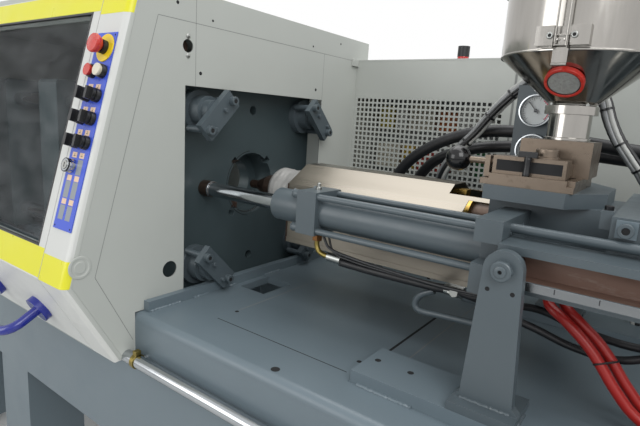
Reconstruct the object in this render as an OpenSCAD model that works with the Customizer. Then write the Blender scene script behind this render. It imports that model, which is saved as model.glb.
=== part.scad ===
// Horizontal injection moulding machine: clamp side to -X, injection side to +X.
// Millimetres, Z up from the floor, Y to the back, origin under the middle of the machine.

/* [Bed] */
// Left end of the bed
bed_left_x = -1930; // [-1940:1:-1900]
// Right end of the bed
bed_right_x = 1950; // [1900:1:2000]
// Front face of the bed
bed_front_y = -554; // [-570:1:-540]
// Rear face of the bed
bed_rear_y = 314; // [300:1:320]
// Height of the deck top
deck_z = 970; // [960:1:980]
// Thickness of the deck plate
deck_t = 20; // [16:1:24]
// Radius of the rounded front edge of the deck
deck_edge_r = 18; // [8:1:19]
// Lower edge of the bed side walls
skirt_z = 598; // [560:1:640]
// Thickness of the bed walls
bed_wall = 12; // [8:1:16]
// Width of a leg
leg_w = 190; // [160:1:220]
// Depth of a leg
leg_d = 180; // [140:1:220]
// Underside of the legs
leg_z = 60; // [50:1:80]
// Radius of a levelling pad
pad_r = 55; // [40:1:70]
// Radius of a levelling stud
stud_r = 12; // [8:1:15]
// Radius of the round bar on the front of the bed
bar_r = 15; // [12:1:18]
// Height of the round bar
bar_z = 870; // [850:1:890]

/* [Clamp] */
// Height of the machine axis
axis_z = 1238; // [1230:1:1246]
// Distance of the machine axis from the origin along Y
axis_y = -120; // [-121:1:-119]
// Width of a platen
platen_w = 535; // [520:1:550]
// Height of a platen
platen_h = 550; // [546:1:560]
// Thickness of the fixed platen
fixed_platen_t = 110; // [100:1:120]
// Rear face of the fixed platen
fixed_platen_x = -440; // [-442:1:-438]
// Thickness of the moving platen
moving_platen_t = 120; // [110:1:130]
// Mould face of the moving platen at rest
moving_face_x = -1050; // [-1080:1:-1040]
// Thickness of the tail platen
tail_platen_t = 120; // [100:1:140]
// Front face of the tail platen
tail_face_x = -1420; // [-1440:1:-1400]
// Half spacing of the tie bars across the machine
tie_half_y = 215; // [210:1:220]
// Half spacing of the tie bars in height
tie_half_z = 205; // [200:1:210]
// Radius of a tie bar
tie_r = 25; // [22:0.5:27]
// Radius of the recess in the rear of the fixed platen
recess_r = 91; // [86:1:95]
// Radius of the locating bore in the mould face
locate_r = 62.5; // [55:0.5:70]
// Radius of the mould fixing holes
fix_hole_r = 8; // [6:0.5:10]
// Spacing of the mould fixing holes across the machine
fix_y = 210; // [200:1:230]
// Spacing of the mould fixing holes in height
fix_z = 350; // [320:1:380]
// Radius of the clamp ram
ram_r = 55; // [45:1:65]
// Radius of the clamp cylinder
clamp_cyl_r = 150; // [130:1:160]

/* [Guard] */
// Outer plane of the guard end panel
guard_right_x = -378; // [-380:1:-376]
// Outer plane of the left guard end
guard_left_x = -1950; // [-1960:1:-1945]
// Top of the guard
guard_z = 1713; // [1700:1:1730]
// Slope of the guard front from the vertical
slope = 15.3; // [14:0.1:16]
// Thickness of the guard sheet
sheet = 3; // [2:0.5:4]
// Length of the sliding door
door_w = 898; // [880:1:900]
// Thickness of the sliding door
door_t = 34; // [28:1:38]
// Radius of the handle rod
handle_r = 12; // [9:0.5:13]
// Span of the door handle
handle_span = 260; // [220:1:300]

/* [Injection unit] */
// Distance of a carriage cylinder from the machine axis
cyl_y = 178; // [176:1:180]
// Radius of a carriage cylinder tube
cyl_r = 37.5; // [36:0.5:38]
// Radius of a carriage rod
rod_r = 19; // [16:0.5:21]
// Side of the square cylinder head
head_s = 96; // [90:1:98]
// Radius of the barrel
barrel_r = 45; // [40:1:48]
// Radius of the plasticizing screw
screw_r = 20; // [16:0.5:25]
// Outer distance of the slide beams from the axis
beam_out = 286; // [284:1:288]
// Depth of a slide beam
beam_d = 82; // [78:1:82]
// Radius of the track rollers
roller_r = 18.4; // [17:0.1:18.5]
// Height of the injection housing top
housing_z = 1326; // [1320:1:1330]

/* [Hopper] */
// Position of the hopper axis along X
hopper_x = 405; // [400:1:410]
// Radius of the hopper cylinder
hopper_r = 140; // [130:1:150]
// Height of the hopper rim
hopper_rim_z = 1700; // [1690:1:1720]
// Radius of the hopper neck
neck_r = 38; // [36:1:40]
// Radius of the sight glass ring
sight_r = 33; // [28:1:36]

/* [Cabinet] */
// Rear face of the cabinet
cabinet_rear_y = 745; // [735:1:760]
// Front face of the cabinet
cabinet_front_y = 327; // [325:1:329]
// Top of the cabinet
cabinet_z = 1649; // [1640:1:1660]
// Right end of the cabinet
cabinet_right_x = 1180; // [1100:1:1250]
// Pitch of the square holes
punch_pitch = 16.5; // [16:0.1:17]
// Side of a square hole
punch_side = 10.5; // [9:0.1:11]

/* [Hidden] */
$fn = 64;
// Face to face parts of one body share the same plane; round ones keep this gap.
fit = 0.3;
// The handle reaches as far to the front as the cabinet to the back.
front_y = -cabinet_rear_y;

// Colours.
col_guard = [0.71, 0.72, 0.69];
col_light = [0.83, 0.84, 0.82];
col_bed = [0.40, 0.46, 0.50];
col_platen = [0.26, 0.30, 0.33];
col_steel = [0.62, 0.63, 0.64];
col_chrome = [0.80, 0.81, 0.82];
col_dark = [0.09, 0.09, 0.10];
col_yellow = [0.85, 0.83, 0.18];
col_blue = [0.11, 0.16, 0.52];
col_red = [0.84, 0.20, 0.17];
col_brass = [0.70, 0.53, 0.28];

// Helpers.

// A box given by its two opposite corners.
module block(a, b) {
    translate(a)
        cube([b[0] - a[0], b[1] - a[1], b[2] - a[2]]);
}

// A round bar along X between two stations.
module bar_x(x0, x1, y, z, r) {
    translate([x0, y, z])
        rotate([0, 90, 0])
            cylinder(h = x1 - x0, r = r);
}

// A round bar along Y between two stations.
module bar_y(y0, y1, x, z, r) {
    translate([x, y1, z])
        rotate([90, 0, 0])
            cylinder(h = y1 - y0, r = r);
}

// A (y, z) profile drawn out along X between two stations.
module prism_x(x0, x1, pts) {
    translate([x0, 0, 0])
        rotate([90, 0, 90])
            linear_extrude(height = x1 - x0)
                polygon(pts);
}

// Copies the children to the mirror side of the machine axis.
module both_sides() {
    children();
    translate([0, 2 * axis_y, 0])
        mirror([0, 1, 0])
            children();
}

// Bed.
frame_top_z = deck_z - deck_t;
leg_xs = [-1850, -1184, 400, 1700];
bulkhead_xs = [-1430, -560, -200, 700, 1300];
rail_y = 190;
rail_w = 60;
rail_z = 963;
rail_web = 15;
rail_x0 = -1560;
rail_x1 = -440;
foot_plate_t = 20;

module leg(x, y) {
    difference() {
        block([x, y, leg_z], [x + leg_w, y + leg_d, skirt_z + bed_wall]);
        block([x + bed_wall, y + bed_wall, leg_z + foot_plate_t],
              [x + leg_w - bed_wall, y + leg_d - bed_wall, skirt_z + bed_wall + 1]);
        translate([x + leg_w / 2, y + leg_d / 2, leg_z - 1])
            cylinder(h = foot_plate_t + 2, r = stud_r + fit);
    }
}

module bed_frame() {
    color(col_bed) {
        difference() {
            block([bed_left_x, bed_front_y, skirt_z], [bed_right_x, bed_rear_y, frame_top_z]);
            block([bed_left_x + bed_wall, bed_front_y + bed_wall, skirt_z - 1],
                  [bed_right_x - bed_wall, bed_rear_y - bed_wall, frame_top_z + 1]);
        }
        for (x = bulkhead_xs)
            block([x, bed_front_y + bed_wall, skirt_z + bed_wall],
                  [x + bed_wall, bed_rear_y - bed_wall, frame_top_z - 20]);
        for (x = leg_xs) {
            leg(x, bed_front_y + bed_wall);
            leg(x, bed_rear_y - bed_wall - leg_d);
        }
        for (s = [-1, 1])
            translate([0, axis_y + s * rail_y, 0]) {
                block([rail_x0, -rail_w / 2, rail_z - 25], [rail_x1, rail_w / 2, rail_z]);
                block([rail_x0, -rail_web / 2, skirt_z + bed_wall], [rail_x1, rail_web / 2, rail_z - 25]);
            }
    }
}

clamp_pit_x0 = -1700;
clamp_pit_x1 = -436;
clamp_pit_half = 283;
drain_x = [-341, -253];
drain_y = [-248, -132];
seam = 2;
// Shallow seams of the deck: left, front, right and rear edge of each.
deck_seams = [
    [-221, -441, 141, -439],
    [-221, -372, -219, -21],
    [206, -340, 208, 100]
];
groove_x = [157, 163];
groove_y = [-330, -58];
deck_mark_t = 8;
// Holes in the deck: position along X and Y, radius.
deck_holes = [
    [-218, -381, 5],
    [34, -525, 9],
    [137, -388, 5]
];

module bed_deck() {
    color(col_bed)
    difference() {
        union() {
            block([bed_left_x, bed_front_y + deck_edge_r, frame_top_z], [bed_right_x, bed_rear_y, deck_z]);
            block([bed_left_x, bed_front_y, frame_top_z],
                  [bed_right_x, bed_front_y + deck_edge_r, deck_z - deck_edge_r]);
            intersection() {
                bar_x(bed_left_x, bed_right_x, bed_front_y + deck_edge_r, deck_z - deck_edge_r, deck_edge_r);
                block([bed_left_x, bed_front_y, deck_z - deck_edge_r],
                      [bed_right_x, bed_front_y + deck_edge_r, deck_z]);
            }
        }
        block([clamp_pit_x0, axis_y - clamp_pit_half, frame_top_z - 1],
              [clamp_pit_x1, axis_y + clamp_pit_half, deck_z + 1]);
        block([drain_x[0], drain_y[0], frame_top_z - 1], [drain_x[1], drain_y[1], deck_z + 1]);
        for (s = deck_seams)
            block([s[0], s[1], deck_z - seam], [s[2], s[3], deck_z + 1]);
        block([groove_x[0], groove_y[0], deck_z - deck_mark_t], [groove_x[1], groove_y[1], deck_z + 1]);
        for (p = deck_holes)
            translate([p[0], p[1], deck_z - deck_mark_t])
                cylinder(h = deck_mark_t + 1, r = p[2]);
    }
}

// Raised plates for the columns and the cross rail at the guard.
plate_x0 = 165;
plate_x1 = 1500;
plate_out = 346;
plate_in = 228;
plate_z = 995;
plate_hole_xs = [185, 254];
plate_hole_y = -400;
plate_hole_r = 6;
cross_rail_w = 17.7;
cross_rail_y = [-530, 290];
rail_back_x = guard_right_x + fit;
rail_front_x = rail_back_x + cross_rail_w;
lock_x = rail_front_x + 2 * fit;
nut_front_x = lock_x - fit;

module deck_plates() {
    color(col_bed) {
        both_sides()
            difference() {
                block([plate_x0, axis_y - plate_out, deck_z], [plate_x1, axis_y - plate_in, plate_z]);
                for (x = plate_hole_xs)
                    translate([x, plate_hole_y, deck_z + 5])
                        cylinder(h = plate_z - deck_z, r = plate_hole_r);
            }
        block([rail_back_x, cross_rail_y[0], deck_z], [rail_front_x, cross_rail_y[1], plate_z]);
    }
}

module foot(x, y) {
    translate([x, y, 0]) {
        cylinder(h = 14, r = pad_r);
        translate([0, 0, 14])
            cylinder(h = 8, r1 = pad_r, r2 = 30);
        cylinder(h = 130, r = stud_r);
        translate([0, 0, leg_z - 20])
            cylinder(h = 20, r = 21, $fn = 6);
    }
}

module levelling_feet() {
    color(col_steel)
        for (x = leg_xs) {
            foot(x + leg_w / 2, bed_front_y + bed_wall + leg_d / 2);
            foot(x + leg_w / 2, bed_rear_y - bed_wall - leg_d / 2);
        }
}

bar_y0 = -575;
bar_left_x = guard_right_x + fit;
bar_right_x = 1900;
bar_mounts = [-340, 400, 1150, 1850];

module front_rail() {
    color(col_chrome) {
        bar_x(bar_left_x, bar_right_x, bar_y0, bar_z, bar_r);
        for (x = bar_mounts)
            bar_y(bar_y0, bed_front_y, x, bar_z, 9);
    }
}

// Platens, tie bars and clamp cylinder.
hole_r = 13;
notch_w = 20;
notch_r = 105;
mould_x = fixed_platen_x - fixed_platen_t;
flange_t = 40;
corner_c = 10;

module tie_positions() {
    for (y = [-1, 1])
        for (z = [-1, 1])
            translate([0, axis_y + y * tie_half_y, axis_z + z * tie_half_z])
                children();
}

// A platen blank with bevelled corners between two stations.
module platen_blank(x0, x1) {
    w = platen_w / 2;
    h = platen_h / 2;
    c = corner_c;
    translate([0, axis_y, axis_z])
        prism_x(x0, x1, [
            [-w + c, -h],
            [w - c, -h],
            [w, -h + c],
            [w, h - c],
            [w - c, h],
            [-w + c, h],
            [-w, h - c],
            [-w, -h + c]
        ]);
}

module fixing_holes(x0, x1) {
    for (y = [-1, 1])
        for (z = [-1, 1])
            bar_x(x0, x1, axis_y + y * fix_y / 2, axis_z + z * fix_z / 2, fix_hole_r);
}

module fixed_platen() {
    color(col_platen)
    difference() {
        platen_blank(mould_x, fixed_platen_x);
        tie_positions()
            bar_x(mould_x - 1, fixed_platen_x + 1, 0, 0, tie_r + fit);
        bar_x(mould_x + flange_t, fixed_platen_x + 1, axis_y, axis_z, recess_r);
        bar_x(mould_x - 1, fixed_platen_x, axis_y, axis_z, locate_r);
        for (a = [45, 135])
            translate([fixed_platen_x - 20, axis_y, axis_z])
                rotate([a, 0, 0])
                    translate([0, -notch_r, -notch_w / 2])
                        cube([21, 2 * notch_r, notch_w]);
        bar_x(fixed_platen_x - 40, fixed_platen_x + 1, axis_y, axis_z + 215, hole_r);
        bar_x(fixed_platen_x - 40, fixed_platen_x + 1, axis_y, axis_z - 222, hole_r);
        bar_x(fixed_platen_x - 40, fixed_platen_x + 1, axis_y - 75, axis_z - 80, 11);
        for (s = [-1, 1])
            bar_x(fixed_platen_x - 25, fixed_platen_x + 1, axis_y + s * cyl_y, axis_z, rod_r + fit);
        fixing_holes(mould_x - 1, mould_x + 35);
    }
}

tie_x0 = -1560;
nut_flange_r = 52.5;
nut_flange_t = 22;
nut_r = 38;
spigot_r = 29;
nut_step_x = guard_right_x - 6;
tie_x1 = nut_step_x - 2;

module tie_bars() {
    color(col_chrome)
        tie_positions()
            bar_x(tie_x0, tie_x1, 0, 0, tie_r);
}

module tie_bar_nuts() {
    tail_back = tail_face_x - tail_platen_t;
    color(col_bed)
        tie_positions() {
            difference() {
                union() {
                    bar_x(fixed_platen_x, fixed_platen_x + nut_flange_t, 0, 0, nut_flange_r);
                    bar_x(fixed_platen_x, nut_step_x, 0, 0, nut_r);
                    bar_x(fixed_platen_x, nut_front_x, 0, 0, spigot_r);
                }
                bar_x(fixed_platen_x - 1, tie_x1 + fit, 0, 0, tie_r + fit);
                translate([nut_step_x - 19, 0, -nut_r - 1])
                    cylinder(h = 10, r = 4);
            }
            difference() {
                bar_x(tail_back - 50, tail_back, 0, 0, nut_r);
                bar_x(tie_x0 - fit, tail_back + 1, 0, 0, tie_r + fit);
            }
        }
}

lock_len = 127;
lock_w = 52;
lock_t = 18;
lock_screw = 52;
lock_shift_y = 11;
lock_shift_z = 8;
stud_head_r = 11;
stud_head_t = 14;
hex_socket_r = 6.5;
small_screw_r = 5;
small_screw_t = 8;

// One lock bar across the front of a nut, set at 45 degrees.
module lock_bar(y, z) {
    front_x = lock_x + lock_t;
    bar_y = axis_y + y * tie_half_y - (y > 0 ? lock_shift_y : 0);
    translate([0, bar_y, axis_z + z * (tie_half_z - lock_shift_z)])
        rotate([45 * y * z, 0, 0]) {
            translate([lock_x, -lock_w / 2, -lock_len / 2])
                cube([lock_t, lock_w, lock_len]);
            for (s = [-1, 1]) {
                bar_x(fixed_platen_x + nut_flange_t, lock_x, 0, s * lock_screw, 8);
                difference() {
                    bar_x(front_x, front_x + stud_head_t, 0, s * lock_screw, stud_head_r);
                    bar_x(front_x + 5, front_x + stud_head_t + 1, 0, s * lock_screw, hex_socket_r, $fn = 6);
                }
            }
            bar_x(front_x, front_x + small_screw_t, 0, 19, small_screw_r);
            bar_x(front_x, front_x + small_screw_t, 12 * z, -37, small_screw_r);
        }
}

module nut_lock_bars() {
    color(col_bed)
        for (y = [-1, 1])
            for (z = [-1, 1])
                lock_bar(y, z);
}

module tail_platen() {
    color(col_platen)
    difference() {
        platen_blank(tail_face_x - tail_platen_t, tail_face_x);
        tie_positions()
            bar_x(tail_face_x - tail_platen_t - 1, tail_face_x + 1, 0, 0, tie_r + fit);
        bar_x(tail_face_x - tail_platen_t - 1, tail_face_x + 1, axis_y, axis_z, ram_r + fit);
    }
}

clamp_cyl_len = 350;
clamp_flange_r = 170;
clamp_bore_end = -1870;

module clamp_cylinder() {
    tail_back = tail_face_x - tail_platen_t;
    color(col_bed) {
        difference() {
            union() {
                bar_x(tail_back - clamp_cyl_len, tail_back, axis_y, axis_z, clamp_cyl_r);
                bar_x(tail_back - 45, tail_back, axis_y, axis_z, clamp_flange_r);
            }
            bar_x(clamp_bore_end, tail_back + 1, axis_y, axis_z, ram_r + fit);
        }
        for (a = [0:45:315])
            translate([0, axis_y, axis_z])
                rotate([a + 22.5, 0, 0])
                    bar_x(tail_back - 57, tail_back - 45, 160, 0, 8);
    }
}

module moving_platen() {
    color(col_platen)
    difference() {
        platen_blank(moving_face_x - moving_platen_t, moving_face_x);
        tie_positions()
            bar_x(moving_face_x - moving_platen_t - 1, moving_face_x + 1, 0, 0, tie_r + fit);
        bar_x(moving_face_x - 25, moving_face_x + 1, axis_y, axis_z, locate_r);
        for (s = [-1, 1])
            bar_x(moving_face_x - moving_platen_t - 1, moving_face_x + 1, axis_y, axis_z + s * 90, 14 + fit);
        fixing_holes(moving_face_x - 35, moving_face_x + 1);
        block([moving_face_x - moving_platen_t - 1, axis_y - platen_w / 2 - 1, axis_z - platen_h / 2 - 1],
              [moving_face_x + 1, axis_y + platen_w / 2 + 1, rail_z + fit]);
    }
}

ram_back_x = -1800;

module clamp_ram() {
    color(col_chrome)
        bar_x(ram_back_x, moving_face_x - moving_platen_t, axis_y, axis_z, ram_r);
}

eject_x = -1262;
eject_t = 22;

module ejector() {
    color(col_steel) {
        difference() {
            block([eject_x, axis_y - 70, axis_z - 130], [eject_x + eject_t, axis_y + 70, axis_z + 130]);
            bar_x(eject_x - 1, eject_x + eject_t + 1, axis_y, axis_z, ram_r + 2);
        }
        for (s = [-1, 1])
            bar_x(eject_x + eject_t, moving_face_x - 27, axis_y, axis_z + s * 90, 14);
    }
}

// Guard.
guard_rear_y = 397;
belt_y = -719;
belt_z = 1066;
under_y = -600;
under_z = 856;
guard_bottom_z = 972;
shoulder_z = guard_z - 63.7;
top_front_y = belt_y + (guard_z - belt_z) * tan(slope);
gap_x = -481;
door_x1 = gap_x - 2;
door_x0 = door_x1 - door_w;
open_y = [-415, 131];
open_z = guard_z - 213;
inset = 46;

// Outline of a guard end, (y, z), from the rear foot round over the top.
end_outline = [
    [cabinet_front_y, guard_bottom_z],
    [cabinet_front_y, shoulder_z],
    [guard_rear_y, shoulder_z],
    [guard_rear_y, guard_z],
    [top_front_y, guard_z],
    [belt_y, belt_z],
    [under_y, under_z],
    [bed_front_y, under_z],
    [bed_front_y, guard_bottom_z]
];
// Round holes in the guard end: position along Y, height, radius.
end_holes = [
    [-408, guard_z - 123, 15],
    [-457, 1056, 20.5]
];

module guard_end_panel() {
    color(col_guard)
    difference() {
        union() {
            prism_x(guard_right_x - sheet, guard_right_x, end_outline);
            prism_x(gap_x, guard_right_x, [
                [top_front_y, guard_z],
                [belt_y, belt_z],
                [under_y, under_z],
                [bed_front_y, under_z],
                [bed_front_y, under_z + sheet],
                [under_y + 2, under_z + sheet],
                [belt_y + sheet + 0.4, belt_z],
                [top_front_y + sheet, guard_z]
            ]);
        }
        block([guard_right_x - sheet - 1, open_y[0], guard_bottom_z - 1],
              [guard_right_x + 1, open_y[1], open_z]);
        for (h = end_holes)
            bar_x(guard_right_x - sheet - 1, guard_right_x + 1, h[0], h[1], h[2]);
    }
}

sill_y = bed_front_y + 20;

module guard_hood() {
    color(col_guard) {
        prism_x(guard_left_x + sheet, guard_right_x - sheet, [
            [cabinet_front_y, guard_bottom_z],
            [cabinet_front_y, shoulder_z],
            [guard_rear_y, shoulder_z],
            [guard_rear_y, guard_z],
            [top_front_y + 8, guard_z],
            [top_front_y + 8, guard_z - sheet],
            [guard_rear_y - sheet, guard_z - sheet],
            [guard_rear_y - sheet, shoulder_z + sheet],
            [cabinet_front_y - sheet, shoulder_z + sheet],
            [cabinet_front_y - sheet, guard_bottom_z]
        ]);
        prism_x(guard_left_x, guard_left_x + sheet, end_outline);
        prism_x(guard_left_x + sheet, door_x0 - 10, [
            [top_front_y + inset, guard_z - sheet],
            [belt_y + inset, belt_z],
            [under_y + inset, door_bottom_z - fit],
            [under_y + inset, door_bottom_z + 6],
            [belt_y + inset + sheet, belt_z],
            [top_front_y + inset + sheet, guard_z - sheet]
        ]);
        block([guard_left_x + sheet, under_y, under_z], [gap_x - 1, bed_front_y, door_bottom_z - fit]);
        block([guard_left_x + sheet, bed_front_y - 8, under_z],
              [door_x0 - 10, bed_front_y, door_bottom_z + 8]);
        block([guard_left_x + sheet, -541, door_top_z + fit], [gap_x - 1, -516, guard_z - sheet]);
        block([guard_left_x + sheet, sill_y, deck_z], [guard_right_x - sheet, sill_y + 30, deck_z + 24]);
        block([guard_left_x + sheet, cabinet_front_y - sheet - 36, guard_bottom_z],
              [guard_right_x - sheet, cabinet_front_y - sheet, guard_bottom_z + 30]);
    }
}

// Door: a bent frame with a window in the sloping part.
door_top_z = guard_z - 17;
door_bottom_z = 862;
win_top = -8;
win_bottom = 523;
slope_z = door_top_z - 60;
slope_y = belt_y + (slope_z - belt_z) * tan(slope);
win_left_x = door_x0 + 26;
win_right_x = -511;
glaze_t = 5;

// Places children on the slope at distance s down from the upper reference point, Z outwards.
module on_slope(x, s) {
    translate([x, slope_y - s * sin(slope), slope_z - s * cos(slope)])
        rotate([90 - slope, 0, 0])
            children();
}

module front_door() {
    door_top_y = belt_y + (door_top_z - belt_z) * tan(slope);
    bottom_share = (belt_z - door_bottom_z) / (belt_z - under_z);
    door_bottom_y = belt_y + bottom_share * (under_y - belt_y);
    color(col_light)
    difference() {
        prism_x(door_x0, door_x1, [
            [door_top_y, door_top_z],
            [belt_y, belt_z],
            [door_bottom_y, door_bottom_z],
            [door_bottom_y + door_t, door_bottom_z],
            [belt_y + door_t, belt_z],
            [door_top_y + door_t, door_top_z]
        ]);
        on_slope(0, 0)
            block([win_left_x, -win_bottom, -door_t - 20], [win_right_x, -win_top, 20]);
    }
}

module door_window() {
    color([0.75, 0.80, 0.82, 0.35])
        on_slope(0, 0)
            block([win_left_x, -win_bottom, -18], [win_right_x, -win_top, -18 + glaze_t]);
}

handle_x = -632;
handle_z = 940;
handle_bend = 45;
flange_r = 35;
handle_flange_t = 16;
under_slope = atan((under_y - belt_y) / (belt_z - under_z));
handle_y = belt_y + (belt_z - handle_z) / (belt_z - under_z) * (under_y - belt_y);
handle_reach = (handle_y - front_y - handle_r) / cos(under_slope);

// Places children on the undercut at the handle, Z outwards.
module at_handle() {
    translate([handle_x, handle_y, handle_z])
        rotate([90 + under_slope, 0, 0])
            children();
}

module door_handle() {
    color(col_blue)
        at_handle() {
            for (x = [0, -handle_span]) {
                translate([x, 0, 0]) {
                    cylinder(h = handle_flange_t, r = flange_r);
                    cylinder(h = handle_reach - handle_bend, r = handle_r);
                }
                translate([x == 0 ? -handle_bend : x + handle_bend, 0, handle_reach - handle_bend])
                    rotate([90, x == 0 ? 0 : -90, 0])
                        rotate_extrude(angle = 90)
                            translate([handle_bend, 0])
                                circle(r = handle_r);
            }
            translate([-handle_span + handle_bend, 0, handle_reach])
                rotate([0, 90, 0])
                    cylinder(h = handle_span - 2 * handle_bend, r = handle_r);
        }
}

// Control strip.
panel_x = [-468, -394];
panel_s = [44, 473];
panel_t = 2;
panel_gap = 0.2;
col_a = -450;
col_b = -413;
estop_x = -426;
estop_s = 78;
button_s = 130;
selector_s = [182, 232, 284];
key_x = -448;
key_s = 337;
collar_r = 14.5;
collar_h = 10;
spot_r = 30;

module control_plate() {
    color([0.23, 0.33, 0.77])
    difference() {
        on_slope(0, 0)
            block([panel_x[0], -panel_s[1], panel_gap], [panel_x[1], -panel_s[0], panel_t]);
        for (x = [panel_x[0] + 6, panel_x[1] - 6])
            for (s = [panel_s[0] + 6, panel_s[1] - 6])
                on_slope(x, s)
                    translate([0, 0, -1])
                        cylinder(h = panel_t + 2, r = 2);
    }
}

module collar(x, s) {
    on_slope(x, s)
        translate([0, 0, panel_t])
            difference() {
                cylinder(h = collar_h, r = collar_r);
                translate([0, 0, 2])
                    cylinder(h = collar_h, r = 11.5);
            }
}

module switch_collars() {
    color(col_dark) {
        on_slope(estop_x, estop_s) {
            translate([0, 0, panel_t])
                cylinder(h = 2, r = spot_r);
            translate([0, 0, panel_t + 2])
                difference() {
                    cylinder(h = 10, r = 15);
                    translate([0, 0, 2])
                        cylinder(h = 10, r = 10);
                }
        }
        for (x = [col_a, col_b]) {
            collar(x, button_s);
            for (s = selector_s)
                collar(x, s);
        }
        on_slope(key_x, key_s)
            translate([0, 0, panel_t])
                difference() {
                    cylinder(h = 16, r = 15);
                    translate([0, 0, 6])
                        cylinder(h = 11, r = 9.3);
                }
    }
}

module estop_button() {
    color(col_red)
        on_slope(estop_x, estop_s)
            translate([0, 0, panel_t + 8]) {
                cylinder(h = 16, r = 9.6);
                translate([0, 0, 9])
                    cylinder(h = 9, r1 = 16, r2 = 20);
                translate([0, 0, 18])
                    cylinder(h = 5, r1 = 20, r2 = 19);
            }
}

module push_button(x) {
    on_slope(x, button_s)
        translate([0, 0, panel_t + 6]) {
            cylinder(h = 10, r = 11);
            translate([0, 0, 8])
                cylinder(h = 3.5, r = 13);
        }
}

module red_button() {
    color(col_red)
        push_button(col_a);
}

module white_button() {
    color([0.86, 0.83, 0.74])
        push_button(col_b);
}

module selector_knob(x, s) {
    color(col_dark)
        on_slope(x, s)
            translate([0, 0, panel_t + 3]) {
                cylinder(h = 12, r = 11);
                translate([0, 0, 9])
                    cylinder(h = 6, r = 13.5);
                translate([-4, -13, 14])
                    cube([8, 26, 11]);
            }
}

module selector_knob_1() {
    selector_knob(col_a, selector_s[0]);
}

module selector_knob_2() {
    selector_knob(col_b, selector_s[0]);
}

module selector_knob_3() {
    selector_knob(col_a, selector_s[1]);
}

module selector_knob_4() {
    selector_knob(col_b, selector_s[1]);
}

module selector_knob_5() {
    selector_knob(col_a, selector_s[2]);
}

module selector_knob_6() {
    selector_knob(col_b, selector_s[2]);
}

module key_core() {
    color(col_chrome)
        on_slope(key_x, key_s)
            translate([0, 0, panel_t + 7])
                difference() {
                    cylinder(h = 10.5, r = 9);
                    translate([-1, -5, 6.5])
                        cube([2, 10, 5]);
                }
}

// Cabinet.
cab_x0 = -378;
cab_t = 3;
sec_x = 166;
sec_gap = 8;
grille_z0 = 984;
grille_z1 = 1644;
grille_t = 2;
punch_x0 = -364;
punch_top = 1509;
punch_cols = 31;
punch_rows = 17;
plinth_z = 60;

module cabinet_shell() {
    inner_rear = cabinet_rear_y - cab_t;
    color(col_guard) {
        difference() {
            block([cab_x0, cabinet_front_y, plinth_z], [cabinet_right_x, cabinet_rear_y, cabinet_z]);
            block([cab_x0 + cab_t, cabinet_front_y + cab_t, plinth_z + cab_t],
                  [sec_x, inner_rear, cabinet_z - cab_t]);
            block([sec_x + sec_gap, cabinet_front_y + cab_t, plinth_z + cab_t],
                  [cabinet_right_x - cab_t, inner_rear, cabinet_z - cab_t]);
            block([cab_x0 + cab_t, cabinet_front_y - 1, grille_z0],
                  [sec_x, cabinet_front_y + cab_t + 1, grille_z1]);
            block([sec_x + 1, cabinet_front_y - 1, plinth_z - 1],
                  [sec_x + sec_gap - 1, cabinet_front_y + 12, cabinet_z + 1]);
        }
        block([cab_x0 + 20, cabinet_front_y + 20, 0], [cabinet_right_x - 20, cabinet_rear_y - 20, plinth_z]);
    }
}

module cabinet_front() {
    color(col_guard)
        translate([0, cabinet_front_y + grille_t, 0])
            rotate([90, 0, 0])
                linear_extrude(height = grille_t)
                    difference() {
                        translate([cab_x0 + cab_t + fit, grille_z0 + fit])
                            square([sec_x - cab_x0 - cab_t - 2 * fit, grille_z1 - grille_z0 - 2 * fit]);
                        for (i = [0:punch_cols - 1])
                            for (k = [0:punch_rows - 1])
                                translate([punch_x0 + i * punch_pitch, punch_top - k * punch_pitch])
                                    square(punch_side);
                    }
}

// Mounting plate with rails and switchgear.
gear_y = 450;
gear = [
    [-340, 1420, 60, 80],
    [-270, 1420, 45, 80],
    [-210, 1420, 90, 90],
    [-100, 1420, 60, 75],
    [-30, 1420, 120, 85],
    [-340, 1280, 90, 90],
    [-235, 1280, 50, 85],
    [-170, 1280, 110, 70],
    [-40, 1280, 60, 90],
    [40, 1280, 70, 80]
];

module electric_plate() {
    color(col_steel)
        block([cab_x0 + cab_t, gear_y + 80, plinth_z + cab_t], [sec_x, gear_y + 84, cabinet_z - cab_t]);
    color(col_dark)
        for (g = gear)
            block([g[0], gear_y, g[1]], [g[0] + g[2], gear_y + 80, g[1] + g[3]]);
}

lamp_x = -6;
lamp_y = 352;
lamp_r = 18;
lens_h = 8;
lamp_h = 39;

module stack_light() {
    color(col_red)
        translate([lamp_x, lamp_y, cabinet_z])
            cylinder(h = lens_h, r = lamp_r - 1);
    color(col_dark)
        translate([lamp_x, lamp_y, cabinet_z + lens_h])
            cylinder(h = lamp_h - lens_h, r = lamp_r);
}

// Columns with the track rollers the carriage runs on.
column_out = 321;
column_t = 18;
column_xs = [401, 1350];
column_foot_z = 1010;
track_z = 1237;
column_top_r = 30;

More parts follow.
